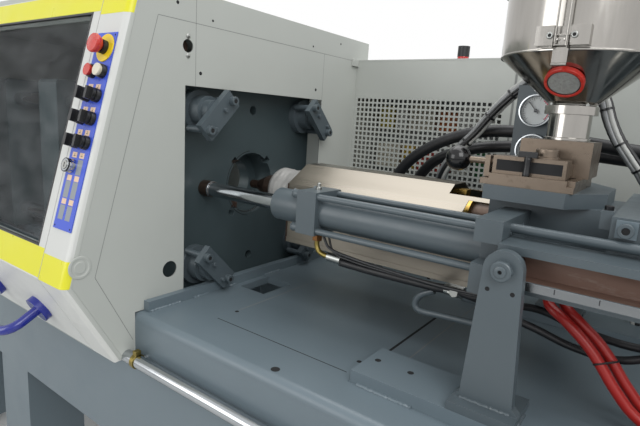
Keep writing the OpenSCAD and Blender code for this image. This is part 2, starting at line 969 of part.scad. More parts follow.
module column(x) {
    face_y = axis_y - column_out;
    translate([0, face_y + column_t, 0])
        rotate([90, 0, 0])
            linear_extrude(height = column_t)
                difference() {
                    union() {
                        polygon([
                            [x - 53, plate_z],
                            [x + 53, plate_z],
                            [x + 53, column_foot_z],
                            [x + 42, column_foot_z + 10],
                            [x + column_top_r, track_z],
                            [x - column_top_r, track_z],
                            [x - 42, column_foot_z + 10],
                            [x - 53, column_foot_z]
                        ]);
                        translate([x, track_z])
                            circle(r = column_top_r);
                    }
                    for (s = [-1, 1])
                        translate([x + s * 19, track_z - 34])
                            circle(r = 3.5);
                    translate([x, track_z])
                        circle(r = 10 + fit);
                }
    block([x - 53, axis_y - plate_out, plate_z], [x + 53, face_y, column_foot_z]);
    block([x - 53, face_y + column_t, plate_z], [x + 53, axis_y - plate_in - 20, column_foot_z]);
    block([x - 9, face_y + column_t, column_foot_z], [x + 9, face_y + column_t + 12, track_z - 60]);
    difference() {
        union() {
            bar_y(face_y - 12, axis_y - beam_out + 4, x, track_z, 10);
            bar_y(axis_y - beam_out + 4, axis_y - beam_out + 24, x, track_z, roller_r);
            translate([x, face_y, track_z])
                rotate([90, 0, 0])
                    cylinder(h = 12, r = 16, $fn = 6);
        }
        bar_y(face_y - 20, face_y, x, track_z, 3);
    }
}

module support_columns() {
    color(col_bed)
        both_sides()
            for (x = column_xs)
                column(x);
}

rod_end_x = 90;
piston_r = 31.2;

module carriage_rods() {
    color(col_chrome)
        both_sides() {
            bar_x(fixed_platen_x - 25, rod_end_x, axis_y - cyl_y, axis_z, rod_r);
            bar_x(fixed_platen_x, fixed_platen_x + 34, axis_y - cyl_y, axis_z, rod_r + 2.5);
            bar_x(rod_end_x - 30, rod_end_x, axis_y - cyl_y, axis_z, piston_r);
        }
}

// Injection unit.
gland_x = [-165, -79];
head_x = [-79, -27];
tube_x = [-27, 333];
cross_x = [333, 379];
gland_r = 38;
bore_clear = 31.5;
cross_y = [-386, -215];
cross_z = [1171, 1300];
notch_y = -340;
notch_z = [1223, 1261];
link_x = 650;
link_y = -336;
link_z = 1284;
link_r = 8;
lug_y = -346;
lug_z = 1298;
beam_top_z = 1269;

module cylinder_unit() {
    y = axis_y - cyl_y;
    difference() {
        union() {
            bar_x(gland_x[0], gland_x[1], y, axis_z, gland_r);
            translate([head_x[0], y - head_s / 2, axis_z - head_s / 2])
                cube([head_x[1] - head_x[0], head_s, head_s]);
            bar_x(tube_x[0], tube_x[1], y, axis_z, cyl_r);
        }
        bar_x(gland_x[0] - 1, head_x[1] + 1, y, axis_z, rod_r + fit);
        bar_x(head_x[1] + 1, tube_x[1] + 1, y, axis_z, bore_clear);
    }
    for (s = [-1, 1])
        for (t = [-1, 1]) {
            bar_x(head_x[1], tube_x[1], y + s * 38, axis_z + t * 38, 7);
            bar_x(head_x[0] - 12, head_x[0], y + s * 38, axis_z + t * 38, 10);
        }
}

module carriage_cylinders() {
    color(col_bed)
        both_sides() {
            cylinder_unit();
            difference() {
                block([cross_x[0], cross_y[0], cross_z[0]], [cross_x[1], cross_y[1], cross_z[1]]);
                block([cross_x[0] - 1, cross_y[0] - 1, notch_z[0]], [cross_x[1] + 1, notch_y, notch_z[1]]);
            }
            bar_x(cross_x[1], link_x, link_y, link_z, link_r);
            block([link_x - 10, lug_y, beam_top_z], [link_x + 10, axis_y - beam_out + beam_d, lug_z]);
        }
}

beam_x = [380, 1640];
beam_bottom_z = 1192;
track_half = 19;
track_depth = 30;

module slide_beams() {
    y0 = axis_y - beam_out;
    color(col_bed)
        both_sides()
            difference() {
                block([beam_x[0], y0, beam_bottom_z], [beam_x[1], y0 + beam_d, beam_top_z]);
                block([beam_x[0] - 1, y0 - 1, track_z - track_half],
                      [beam_x[1] + 1, y0 + track_depth, track_z + track_half]);
                block([beam_x[0] - 1, y0 - 1, beam_bottom_z - 1],
                      [beam_x[1] + 1, y0 + 14, beam_bottom_z + 10]);
            }
}

barrel_x = [-290, 560];
nozzle_x = [-430, -400, -360];
nozzle_r = 34;
tip_r = 12.5;
tip_len = 6;

module barrel() {
    color(col_steel)
    difference() {
        union() {
            bar_x(barrel_x[0], barrel_x[1], axis_y, axis_z, barrel_r);
            bar_x(barrel_x[0], barrel_x[0] + 50, axis_y, axis_z, barrel_r + 10);
        }
        bar_x(barrel_x[0] + 20, barrel_x[1] + 1, axis_y, axis_z, screw_r + fit);
        bar_x(barrel_x[0] - 1, barrel_x[0] + 21, axis_y, axis_z, 5);
        translate([hopper_x, axis_y, axis_z])
            cylinder(h = barrel_r + 1, r = 16);
    }
}

module nozzle() {
    color(col_steel)
    difference() {
        union() {
            bar_x(nozzle_x[2], barrel_x[0], axis_y, axis_z, nozzle_r);
            translate([nozzle_x[1], axis_y, axis_z])
                rotate([0, 90, 0])
                    cylinder(h = nozzle_x[2] - nozzle_x[1], r1 = 16, r2 = nozzle_r);
            bar_x(nozzle_x[0], nozzle_x[1], axis_y, axis_z, tip_r);
            translate([nozzle_x[0] - tip_len, axis_y, axis_z])
                rotate([0, 90, 0])
                    cylinder(h = tip_len, r1 = 8, r2 = tip_r);
        }
        bar_x(nozzle_x[0] - tip_len - 1, barrel_x[0] + 1, axis_y, axis_z, 3);
    }
}

band_xs = [-220, -125, -30, 65, 160];
band_w = 85;
band_r = 58;
wrap_x = [-322, -294];
wrap_r = 48;

module heater_bands() {
    color(col_brass)
        for (x = band_xs)
            difference() {
                union() {
                    bar_x(x, x + band_w, axis_y, axis_z, band_r);
                    block([x + 20, axis_y - 14, axis_z + band_r - 4],
                          [x + band_w - 20, axis_y + 14, axis_z + band_r + 14]);
                }
                bar_x(x - 1, x + band_w + 1, axis_y, axis_z, barrel_r + fit);
            }
    color(col_light)
        difference() {
            bar_x(wrap_x[0], wrap_x[1], axis_y, axis_z, wrap_r);
            bar_x(wrap_x[0] - 1, wrap_x[1] + 1, axis_y, axis_z, nozzle_r + fit);
        }
}

cover_x = [-205, 301];
cover_t = 1.5;

module cover_profile(t) {
    polygon([
        [-105 + t, 1124 - (t > 0 ? 1 : 0)],
        [-105 + t, 1276 - t / 2],
        [-32 + t / 2, 1322 - t],
        [32 - t / 2, 1322 - t],
        [105 - t, 1276 - t / 2],
        [105 - t, 1124 - (t > 0 ? 1 : 0)]
    ]);
}

module barrel_cover() {
    color(col_chrome)
    difference() {
        translate([cover_x[0], axis_y, 0])
            rotate([90, 0, 90])
                linear_extrude(height = cover_x[1] - cover_x[0])
                    difference() {
                        cover_profile(0);
                        cover_profile(cover_t);
                    }
        block([252, axis_y - 120, 1272], [301, axis_y - 60, 1297]);
        block([204, axis_y - 60, 1300], [301, axis_y + 60, 1330]);
    }
}

feed_x = [301, 497];
feed_z = [1317, 1344];
house_block_y = 95;

module feed_housing() {
    color(col_bed)
    difference() {
        union() {
            block([feed_x[0], axis_y - house_block_y, 1150], [520, axis_y + house_block_y, feed_z[0]]);
            translate([0, 0, feed_z[0]])
                linear_extrude(height = feed_z[1] - feed_z[0])
                    polygon([
                        [feed_x[0], -266],
                        [442, -266],
                        [feed_x[1], -184],
                        [feed_x[1], -56],
                        [442, 26],
                        [feed_x[0], 26]
                    ]);
        }
        bar_x(feed_x[0] - 1, 521, axis_y, axis_z, barrel_r + fit);
        translate([hopper_x, axis_y, axis_z])
            cylinder(h = 120, r = 30);
    }
}

side_t = 24;
house_x = [520, 1640];
gib_x = 560;

module injection_housing() {
    y0 = axis_y - beam_out + beam_d;
    y1 = axis_y + beam_out - beam_d;
    color(col_bed) {
        for (s = [[y0, y0 + side_t], [y1 - side_t, y1]])
            block([house_x[0], s[0], 1180], [house_x[1], s[1], housing_z]);
        difference() {
            block([house_x[0], y0 + side_t, 1180], [gib_x, y1 - side_t, housing_z]);
            bar_x(house_x[0] - 1, gib_x + 1, axis_y, axis_z, barrel_r + fit);
        }
        block([house_x[1] - 40, y0 + side_t, 1180], [house_x[1], y1 - side_t, housing_z]);
        block([700, y1, 1269], [900, y1 + beam_d - 8, housing_z]);
        block([528, -330, 1296], [556, y0, 1322]);
        bar_y(-342, -330, 542, 1309, 11);
    }
    color(col_chrome)
        for (s = [-1, 1])
            bar_x(gib_x, house_x[1] - 40, axis_y + s * guide_y, axis_z, guide_r);
}

cross_w = 330;
cross_front_x = 1080;
cross_back_x = 1160;
guide_y = 130;
guide_r = 18;
shank_r = 28;
shank_x = 850;
motor_r = 70;
motor_len = 160;

module crosshead() {
    color(col_bed) {
        difference() {
            block([cross_front_x, axis_y - cross_w / 2, 1184], [cross_back_x, axis_y + cross_w / 2, 1300]);
            for (s = [-1, 1])
                bar_x(cross_front_x - 1, cross_back_x + 1, axis_y + s * guide_y, axis_z, guide_r + fit);
            bar_x(cross_front_x - 1, cross_back_x - 20, axis_y, axis_z, shank_r + fit);
        }
        bar_x(cross_back_x, cross_back_x + motor_len, axis_y, axis_z, motor_r);
    }
}

module screw() {
    color(col_steel) {
        bar_x(-230, shank_x, axis_y, axis_z, screw_r);
        translate([-262, axis_y, axis_z])
            rotate([0, 90, 0])
                cylinder(h = 32, r1 = 4, r2 = screw_r);
        bar_x(shank_x, cross_back_x - 30, axis_y, axis_z, shank_r);
    }
}

// Hopper seat, shut-off slide and clamp handle.
base_z = 1355;
bridge_z = [1365, 1398];
neck_z = 1432;
rod_y = -225;
rod_z = 1384;
rod_pin_r = 6;
knob_x = 232;
knob_r = 25;
clamp_x = 370;
clamp_y = -253;
feed_bore_r = 30;
gate_x = [291, 452];
gate_y = [-260, -62];

module gate_block() {
    color(col_steel) {
        difference() {
            block([gate_x[0], gate_y[0], feed_z[1]], [gate_x[1], gate_y[1], base_z]);
            translate([hopper_x, axis_y, feed_z[1] - 1])
                cylinder(h = base_z - feed_z[1] + 2, r = feed_bore_r);
        }
        difference() {
            union() {
                block([307, -246, bridge_z[0]], [434, -200, bridge_z[1]]);
                block([334, -175, bridge_z[0]], [460, -65, neck_z]);
                block([334, -200, bridge_z[0]], [434, -175, bridge_z[1] - 8]);
            }
            translate([hopper_x, axis_y, bridge_z[0] - 1])
                cylinder(h = neck_z - bridge_z[0] + 2, r = feed_bore_r);
            bar_x(306, 420, rod_y, rod_z, rod_pin_r + fit);
        }
        block([440, -250, base_z], [gate_x[1], -65, bridge_z[0]]);
        block([307, -75, base_z], [440, -65, bridge_z[0]]);
        block([307, gate_y[0], base_z], [440, -241, bridge_z[0]]);
        difference() {
            translate([394, -222, bridge_z[1]])
                cylinder(h = 17, r = 19);
            translate([394, -222, bridge_z[1] + 9])
                cylinder(h = 9, r = 8);
        }
    }
}

module gate_slide() {
    color(col_steel) {
        bar_x(knob_x + knob_r - 7, 400, rod_y, rod_z, rod_pin_r);
        translate([knob_x, rod_y, rod_z])
            rotate([0, 0, 180])
                sphere(r = knob_r);
        block([290, -240, base_z + 1], [438, -78, bridge_z[0] - 1]);
        block([290, -240, base_z + 1], [300, -207, 1396]);
    }
}

module clamp_handle() {
    color(col_dark)
        translate([clamp_x, clamp_y, bridge_z[0] + fit]) {
            cylinder(h = 36, r = 6);
            translate([-16, -5, 34])
                cube([32, 10, 10]);
        }
}

cone_z = [1497, 1583];
ring_r = 47.5;
hop_t = 1.5;

module hopper_body() {
    color(col_chrome) {
        translate([hopper_x, axis_y, 0])
            rotate_extrude()
                polygon([
                    [neck_r, neck_z],
                    [neck_r, cone_z[0] - 16],
                    [ring_r, cone_z[0] - 16],
                    [ring_r, cone_z[0]],
                    [neck_r + 1, cone_z[0]],
                    [hopper_r, cone_z[1]],
                    [hopper_r, hopper_rim_z],
                    [hopper_r - hop_t, hopper_rim_z],
                    [hopper_r - hop_t, cone_z[1] + 1],
                    [neck_r - hop_t, cone_z[0] + 1],
                    [neck_r - hop_t - 1, neck_z]
                ]);
        at_latch()
            difference() {
                block([hopper_r - 8, -42, 1588], [hopper_r + 12, 42, 1620]);
                translate([0, 0, 1580])
                    cylinder(h = 50, r = hopper_r + fit);
                block([hopper_r + 2, -13, 1587], [hopper_r + 13, 13, 1621]);
            }
    }
}

latch_dir = -92;
keeper_z = 1696;

module hopper_lid() {
    color(col_chrome) {
        translate([hopper_x, axis_y, hopper_rim_z])
            cylinder(h = 4, r = hopper_r + 8);
        translate([hopper_x, axis_y, hopper_rim_z + 4])
            cylinder(h = 24, r = 9);
        translate([hopper_x, axis_y, hopper_rim_z + 22])
            cylinder(h = 12, r = 20);
        at_latch() {
            block([hopper_r + 6, -14, keeper_z - 10], [hopper_r + 12, 14, hopper_rim_z + 4]);
            block([hopper_r + 12, -6, keeper_z - 8], [hopper_r + 20, 6, keeper_z]);
        }
    }
}

sight_z = 1538;
cone_tilt = atan((hopper_r - neck_r - 1) / (cone_z[1] - cone_z[0]));
sight_at = neck_r + 1 + (sight_z - cone_z[0]) * tan(cone_tilt);

module sight_glass() {
    color(col_red)
        at_latch()
            translate([sight_at, 0, sight_z])
                rotate([0, 90 + cone_tilt, 0])
                    difference() {
                        translate([0, 0, fit])
                            cylinder(h = 9, r = sight_r);
                        translate([0, 0, 7])
                            cylinder(h = 4, r = sight_r - 5);
                    }
}

lever_pivot_z = 1604;
lever_in = hopper_r + 6;
lever_t = 3;
bail_x = hopper_r + 17;
bail_z = 1588;
bail_top_z = 1703;
wire_r = 1.6;

// Places children in the frame of the latch: X outwards, Z up.
module at_latch() {
    translate([hopper_x, axis_y, 0])
        rotate([0, 0, latch_dir])
            children();
}

// A short wire across the latch.
module cross_wire(x, z, half, r) {
    translate([x, half, z])
        rotate([90, 0, 0])
            cylinder(h = 2 * half, r = r);
}

module latch_lever() {
    color(col_chrome)
        at_latch() {
            block([lever_in, -12, 1558], [lever_in + lever_t, 12, lever_pivot_z + 2.5]);
            cross_wire(lever_in + lever_t / 2, lever_pivot_z, 12.5, 2.5);
            difference() {
                for (y = [-12, 11])
                    block([lever_in + lever_t, y, bail_z - 5], [bail_x + 4, y + 1, bail_z + 5]);
                cross_wire(bail_x, bail_z, 13, wire_r + fit);
            }
        }
}

module latch_bail() {
    color(col_chrome)
        at_latch() {
            for (s = [-1, 1])
                translate([bail_x, s * 9, bail_z - wire_r])
                    cylinder(h = bail_top_z - bail_z + 2 * wire_r, r = wire_r);
            cross_wire(bail_x, bail_top_z, 9.5, wire_r - 0.2);
            cross_wire(bail_x, bail_z, 12, wire_r - 0.2);
        }
}

// Gauge panel.
gauge_y = 40;
gauge_r = 37;
gauges = [[303, 1492], [306, 1402]];

module gauge_case(x, z) {
    difference() {
        bar_y(gauge_y - 8, gauge_y + 22, x, z, gauge_r);
        bar_y(gauge_y - 9, gauge_y + 4, x, z, gauge_r - 5);
    }
    bar_y(gauge_y, gauge_y + 6, x, z, 2.5);
}

module gauge_panel() {
    color(col_bed) {
        difference() {
            block([255, gauge_y + 12, 1374], [353, gauge_y + 15, 1550]);
            for (g = gauges)
                bar_y(gauge_y, gauge_y + 30, g[0], g[1], gauge_r + fit);
        }
        block([280, gauge_y + 12, 1331], [330, gauge_y + 15, 1374]);
        block([280, 26, 1325], [330, gauge_y + 15, 1331]);
    }
    color(col_chrome)
        for (g = gauges)
            gauge_case(g[0], g[1]);
}

module needle(x, z, a) {
    translate([x, gauge_y, z])
        rotate([90, 0, 0])
            rotate([0, 0, a]) {
                translate([0, 0, 0.5])
                    cylinder(h = 3, r = 4);
                translate([-1, -8, 1])
                    cube([2, 34, 1.2]);
            }
}

module needle_upper() {
    color(col_dark)
        needle(gauges[0][0], gauges[0][1], 40);
}

module needle_lower() {
    color(col_dark)
        needle(gauges[1][0], gauges[1][1], 60);
}

// Hoses: sweeps of a ring along hand-set points.
hose_sides = 12;
hose_gap_y = axis_y - house_block_y - fit;
black_hose_1 = [
    [-160, 200, deck_z], [-155, 195, 1120], [-125, 175, 1240], [-60, 160, 1335], [40, 150, 1400],
    [150, 148, 1435], [270, 148, 1440], [400, 148, 1425], [540, 146, 1410], [660, 138, 1395],
    [725, 128, 1365], [740, 125, housing_z]
];
black_hose_2 = [
    [-100, 240, deck_z], [-98, 238, 1120], [-75, 230, 1240], [-20, 218, 1325], [60, 208, 1370],
    [170, 200, 1396], [300, 194, 1402], [440, 190, 1395], [600, 186, 1385], [740, 162, 1378],
    [795, 137, 1358], [810, 125, housing_z]
];
red_hose_1 = [
    [440, hose_gap_y, 1165], [440, -255, 1165], [448, -288, 1152], [478, -302, 1136], [513, -302, 1107],
    [538, -302, 1079], [564, -302, 1045], [596, -300, 1011], [640, -296, 988], [690, -290, 984],
    [714, -288, 979], [722, -288, deck_z]
];
red_hose_2 = [
    [462, hose_gap_y, 1165], [462, -248, 1165], [471, -274, 1152], [497, -282, 1134], [529, -280, 1107],
    [554, -280, 1079], [580, -280, 1045], [612, -278, 1011], [655, -274, 988], [706, -268, 984],
    [734, -265, 979], [742, -265, deck_z]
];
cable_arch = [
    [20, 230, deck_z], [22, 225, 1100], [36, 180, 1230], [64, 118, 1315], [113, 102, 1389],
    [150, 100, 1432], [179, 100, 1473], [206, 100, 1507], [240, 100, 1542], [290, 100, 1578],
    [340, 100, 1590], [390, 100, 1575], [425, 100, 1535], [450, 100, 1476], [472, 100, 1436],
    [500, 104, 1399], [522, 108, 1372], [540, 125, 1345], [556, 160, 1330], [566, 192, 1295],
    [568, 205, 1150], [568, 210, plate_z]
];

// Unit vector of a.
function unit(a) = a / norm(a);

// Travel direction at point i of a path.
function heading(p, i) =
    unit(i == 0 ? p[1] - p[0] : i == len(p) - 1 ? p[i] - p[i - 1] : p[i + 1] - p[i - 1]);

// Direction of the ring at point i; an end on a level face stands upright on it.
function ring_axis(p, i) =
    let (d = heading(p, i))
    (i == 0 || i == len(p) - 1) && abs(d[2]) > 0.7 ? [0, 0, sign(d[2])] : d;

// A round hose of radius r along p; across is a direction the path never takes.
module hose(p, r, across) {
    n = len(p);
    m = hose_sides;
    rings = [
        for (i = [0:n - 1])
            let (d = ring_axis(p, i))
            let (u = unit(cross(across, d)))
            let (v = cross(d, u))
            for (k = [0:m - 1])
                p[i] + r * (cos(k * 360 / m) * u + sin(k * 360 / m) * v)
    ];
    walls = [
        for (i = [0:n - 2])
            for (k = [0:m - 1])
                let (a = i * m)
                let (j = (k + 1) % m)
                for (f = [
                    [a + k + m, a + j, a + k],
                    [a + k + m, a + j + m, a + j]
                ]) f
    ];
    start_cap = [for (k = [0:m - 1]) k];
    end_cap = [for (k = [m - 1:-1:0]) (n - 1) * m + k];
    polyhedron(points = rings, faces = concat(walls, [start_cap, end_cap]));
}

module hydraulic_hoses() {
    color(col_dark) {
        hose(black_hose_1, 16, [0, 1, 0]);
        hose(black_hose_2, 16, [0, 1, 0]);
    }
    color(col_red) {
        hose(red_hose_1, 9, [1, 0, 0]);
        hose(red_hose_2, 9, [1, 0, 0]);
    }
}

module cable_bundles() {
    color(col_steel)
        hose(cable_arch, 15, [0, 1, 0]);
}

bed_frame();
bed_deck();
deck_plates();
levelling_feet();
front_rail();
fixed_platen();
tie_bars();
tie_bar_nuts();
nut_lock_bars();
tail_platen();
clamp_cylinder();
guard_end_panel();
guard_hood();
control_plate();
switch_collars();
cabinet_shell();
cabinet_front();
electric_plate();
support_columns();
carriage_rods();
stack_light();
hydraulic_hoses();
cable_bundles();
barrel();
nozzle();
heater_bands();
barrel_cover();
carriage_cylinders();
slide_beams();
feed_housing();
injection_housing();
gate_block();
hopper_body();
hopper_lid();
sight_glass();
gauge_panel();
moving_platen();
clamp_ram();
ejector();
front_door();
door_window();
door_handle();
estop_button();
red_button();
white_button();
selector_knob_1();
selector_knob_2();
selector_knob_3();
selector_knob_4();
selector_knob_5();
selector_knob_6();
key_core();
gate_slide();
clamp_handle();
latch_lever();
latch_bail();
needle_upper();
needle_lower();
crosshead();
screw();
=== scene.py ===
"""Looks of a horizontal injection moulding machine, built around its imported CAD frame."""

import logging
import math
import random
from dataclasses import dataclass, field
from enum import Enum

import bmesh
import bpy
from mathutils import Matrix, Vector
from mathutils.geometry import interpolate_bezier, tessellate_polygon


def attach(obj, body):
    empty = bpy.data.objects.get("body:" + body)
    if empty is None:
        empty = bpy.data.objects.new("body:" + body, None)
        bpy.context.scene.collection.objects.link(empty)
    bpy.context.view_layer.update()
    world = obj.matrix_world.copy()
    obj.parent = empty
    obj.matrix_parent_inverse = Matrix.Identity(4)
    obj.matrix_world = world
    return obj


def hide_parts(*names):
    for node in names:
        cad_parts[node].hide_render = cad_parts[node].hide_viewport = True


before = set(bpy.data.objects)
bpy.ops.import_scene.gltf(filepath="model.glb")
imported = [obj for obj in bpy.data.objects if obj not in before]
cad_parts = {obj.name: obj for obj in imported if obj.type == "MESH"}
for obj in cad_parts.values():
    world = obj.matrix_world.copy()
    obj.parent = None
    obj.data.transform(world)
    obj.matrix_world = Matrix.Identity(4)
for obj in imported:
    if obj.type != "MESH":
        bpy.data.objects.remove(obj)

LOG = logging.getLogger("machine")
MM = 0.001

# Datums of the machine in millimetres, the same as in the CAD source.
AXIS_Y = -120.0
AXIS_Z = 1238.0
DECK_Z = 970.0
SLOPE = math.radians(15.3)
GUARD_X = -378.0
GAP_X = -481.0
GUARD_TOP = 1713.0
BELT = (-719.0, 1066.0)
UNDER = (-600.0, 856.0)
BED_FRONT = -554.0
CABINET_Y = 327.0
HOPPER_X = 405.0
HOPPER_R = 140.0
LATCH_DIR = math.radians(-92.0)
PLATE_T = 2.0
ROD_OUT = 178.0
# Height of the upper reference point of the sloping front.
SLOPE_Z = 1636.0

# Frame of the whole machine.
HOME = Matrix.Identity(4)

Point = tuple[float, float, float]
Pair = tuple[float, float]


class Body(str, Enum):
    """CAD bodies that pieces ride on."""

    FRAME = "machine_frame"
    CARRIAGE = "carriage"
    DOOR = "door"
    ESTOP = "estop"
    KEY = "key_switch"
    LEVER = "lever"
    UPPER = "pointer_upper"
    LOWER = "pointer_lower"
    SHUTTER = "shutter"
    TEE = "clamp_tee"


def srgb(code: str) -> tuple[float, float, float, float]:
    """Turns an sRGB hex code into a linear colour.

    Args:
        code: six hex digits with a leading hash.

    Returns:
        Linear red, green, blue and alpha.
    """
    parts = [int(code[i : i + 2], 16) / 255 for i in (1, 3, 5)]
    lin = [c / 12.92 if c <= 0.04045 else ((c + 0.055) / 1.055) ** 2.4 for c in parts]
    return (lin[0], lin[1], lin[2], 1.0)


def add_node(tree: bpy.types.NodeTree, kind: str, **values: object) -> bpy.types.Node:
    """Adds one node and sets its inputs or properties.

    Args:
        tree: the node tree it goes in.
        kind: the node's type name.
        values: input socket names (underscores for spaces) or node properties.

    Returns:
        The new node.
    """
    node = tree.nodes.new(kind)
    for key, value in values.items():
        name = key.replace("_", " ")
        if name in node.inputs:
            node.inputs[name].default_value = value
        else:
            setattr(node, key, value)
    return node


def noise(
    tree: bpy.types.NodeTree, place: bpy.types.NodeSocket, size: float, detail: float, rough: float = 0.5
) -> bpy.types.NodeSocket:
    """Adds a noise texture of a real size.

    Args:
        tree: the node tree it goes in.
        place: the coordinates it reads.
        size: size of its largest spots in millimetres.
        detail: number of finer layers.
        rough: weight of the finer layers.

    Returns:
        Its value.
    """
    node = add_node(tree, "ShaderNodeTexNoise", Scale=1000 / size, Detail=detail, Roughness=rough)
    tree.links.new(place, node.inputs["Vector"])
    return node.outputs["Fac"]


def new_material(name: str) -> bpy.types.Material:
    """Adds a material with an empty node tree.

    Args:
        name: its name.

    Returns:
        The material.
    """
    mat = bpy.data.materials.new(name)
    mat.use_nodes = True
    mat.node_tree.nodes.clear()
    return mat


@dataclass(frozen=True)
class Finish:
    """A surface finish with real-scale texture.

    Sizes are in millimetres. grain is the fine texture, blotch the slow change of tone.
    """

    name: str
    code: str
    metallic: float = 0.0
    rough: float = 0.5
    rough_spread: float = 0.08
    grain: float = 0.8
    grain_depth: float = 0.01
    blotch: float = 140.0
    blotch_tone: float = 0.06
    edge: float = 0.8
    coat: float = 0.0
    stretch: Point = (1.0, 1.0, 1.0)
    specks: str = ""
    emission: float = 0.0

    def material(self) -> bpy.types.Material:
        """Builds the material once and returns it after that.

        Returns:
            The finished material.
        """
        found = bpy.data.materials.get(self.name)
        if found is not None:
            return found
        mat = new_material(self.name)
        tree = mat.node_tree
        link = tree.links.new
        shader = add_node(
            tree,
            "ShaderNodeBsdfPrincipled",
            Metallic=self.metallic,
            Roughness=self.rough,
            Coat_Weight=self.coat,
            Coat_Roughness=0.12,
        )
        out = add_node(tree, "ShaderNodeOutputMaterial")
        link(shader.outputs["BSDF"], out.inputs["Surface"])
        place = add_node(tree, "ShaderNodeTexCoord")
        spread = add_node(tree, "ShaderNodeMapping")
        spread.inputs["Scale"].default_value = self.stretch
        link(place.outputs["Object"], spread.inputs["Vector"])
        where = spread.outputs["Vector"]

        # Slow change of tone, with specks of a second colour.
        ramp = add_node(tree, "ShaderNodeMix", data_type="RGBA")
        base = srgb(self.code)
        low = tuple(c * (1 - self.blotch_tone) for c in base[:3]) + (1.0,)
        high = tuple(min(1.0, c * (1 + self.blotch_tone)) for c in base[:3]) + (1.0,)
        ramp.inputs["A"].default_value = low
        ramp.inputs["B"].default_value = high
        link(noise(tree, where, self.blotch, 5.0, 0.6), ramp.inputs["Factor"])
        colour = ramp.outputs["Result"]
        if self.specks:
            gate = add_node(tree, "ShaderNodeMapRange", From_Min=0.56, From_Max=0.72, To_Min=0.0, To_Max=0.75)
            link(noise(tree, where, self.blotch * 0.35, 8.0, 0.7), gate.inputs["Value"])
            mix = add_node(tree, "ShaderNodeMix", data_type="RGBA")
            mix.inputs["B"].default_value = srgb(self.specks)
            link(gate.outputs["Result"], mix.inputs["Factor"])
            link(colour, mix.inputs["A"])
            colour = mix.outputs["Result"]
        link(colour, shader.inputs["Base Color"])
        if self.emission:
            link(colour, shader.inputs["Emission Color"])
            shader.inputs["Emission Strength"].default_value = self.emission

        # Uneven shine.
        shine = add_node(
            tree,
            "ShaderNodeMapRange",
            From_Min=0.3,
            From_Max=0.7,
            To_Min=max(0.02, self.rough - self.rough_spread),
            To_Max=min(1.0, self.rough + self.rough_spread),
        )
        link(noise(tree, where, self.blotch * 0.4, 6.0), shine.inputs["Value"])
        link(shine.outputs["Result"], shader.inputs["Roughness"])

        # Fine grain and softened edges.
        bump = add_node(tree, "ShaderNodeBump", Strength=1.0, Distance=self.grain_depth * MM)
        link(noise(tree, where, self.grain, 3.0), bump.inputs["Height"])
        if self.edge > 0:
            soft = add_node(tree, "ShaderNodeBevel", samples=4)
            soft.inputs["Radius"].default_value = self.edge * MM
            link(soft.outputs["Normal"], bump.inputs["Normal"])
        link(bump.outputs["Normal"], shader.inputs["Normal"])
        return mat


@dataclass(frozen=True)
class ClearSheet:
    """A clear plastic or glass sheet that lets light through and mirrors a little."""

    name: str
    code: str
    rough: float = 0.03
    tint: float = 0.94

    def material(self) -> bpy.types.Material:
        """Builds the material once and returns it after that.

        Returns:
            The finished material.
        """
        found = bpy.data.materials.get(self.name)
        if found is not None:
            return found
        mat = new_material(self.name)
        tree = mat.node_tree
        link = tree.links.new
        clear = add_node(tree, "ShaderNodeBsdfTransparent")
        clear.inputs["Color"].default_value = tuple(c * self.tint for c in srgb(self.code)[:3]) + (1.0,)
        gloss = add_node(tree, "ShaderNodeBsdfAnisotropic", Roughness=self.rough)
        gloss.inputs["Color"].default_value = (0.85, 0.87, 0.9, 1.0)
        smear = add_node(tree, "ShaderNodeTexNoise", Scale=9.0, Detail=4.0)
        lift = add_node(tree, "ShaderNodeMapRange", From_Min=0.35, From_Max=0.75, To_Min=0.02, To_Max=0.06)
        both = add_node(tree, "ShaderNodeMixShader")
        out = add_node(tree, "ShaderNodeOutputMaterial")
        link(smear.outputs["Fac"], lift.inputs["Value"])
        link(lift.outputs["Result"], both.inputs["Fac"])
        link(clear.outputs["BSDF"], both.inputs[1])
        link(gloss.outputs["BSDF"], both.inputs[2])
        link(both.outputs["Shader"], out.inputs["Surface"])
        return mat


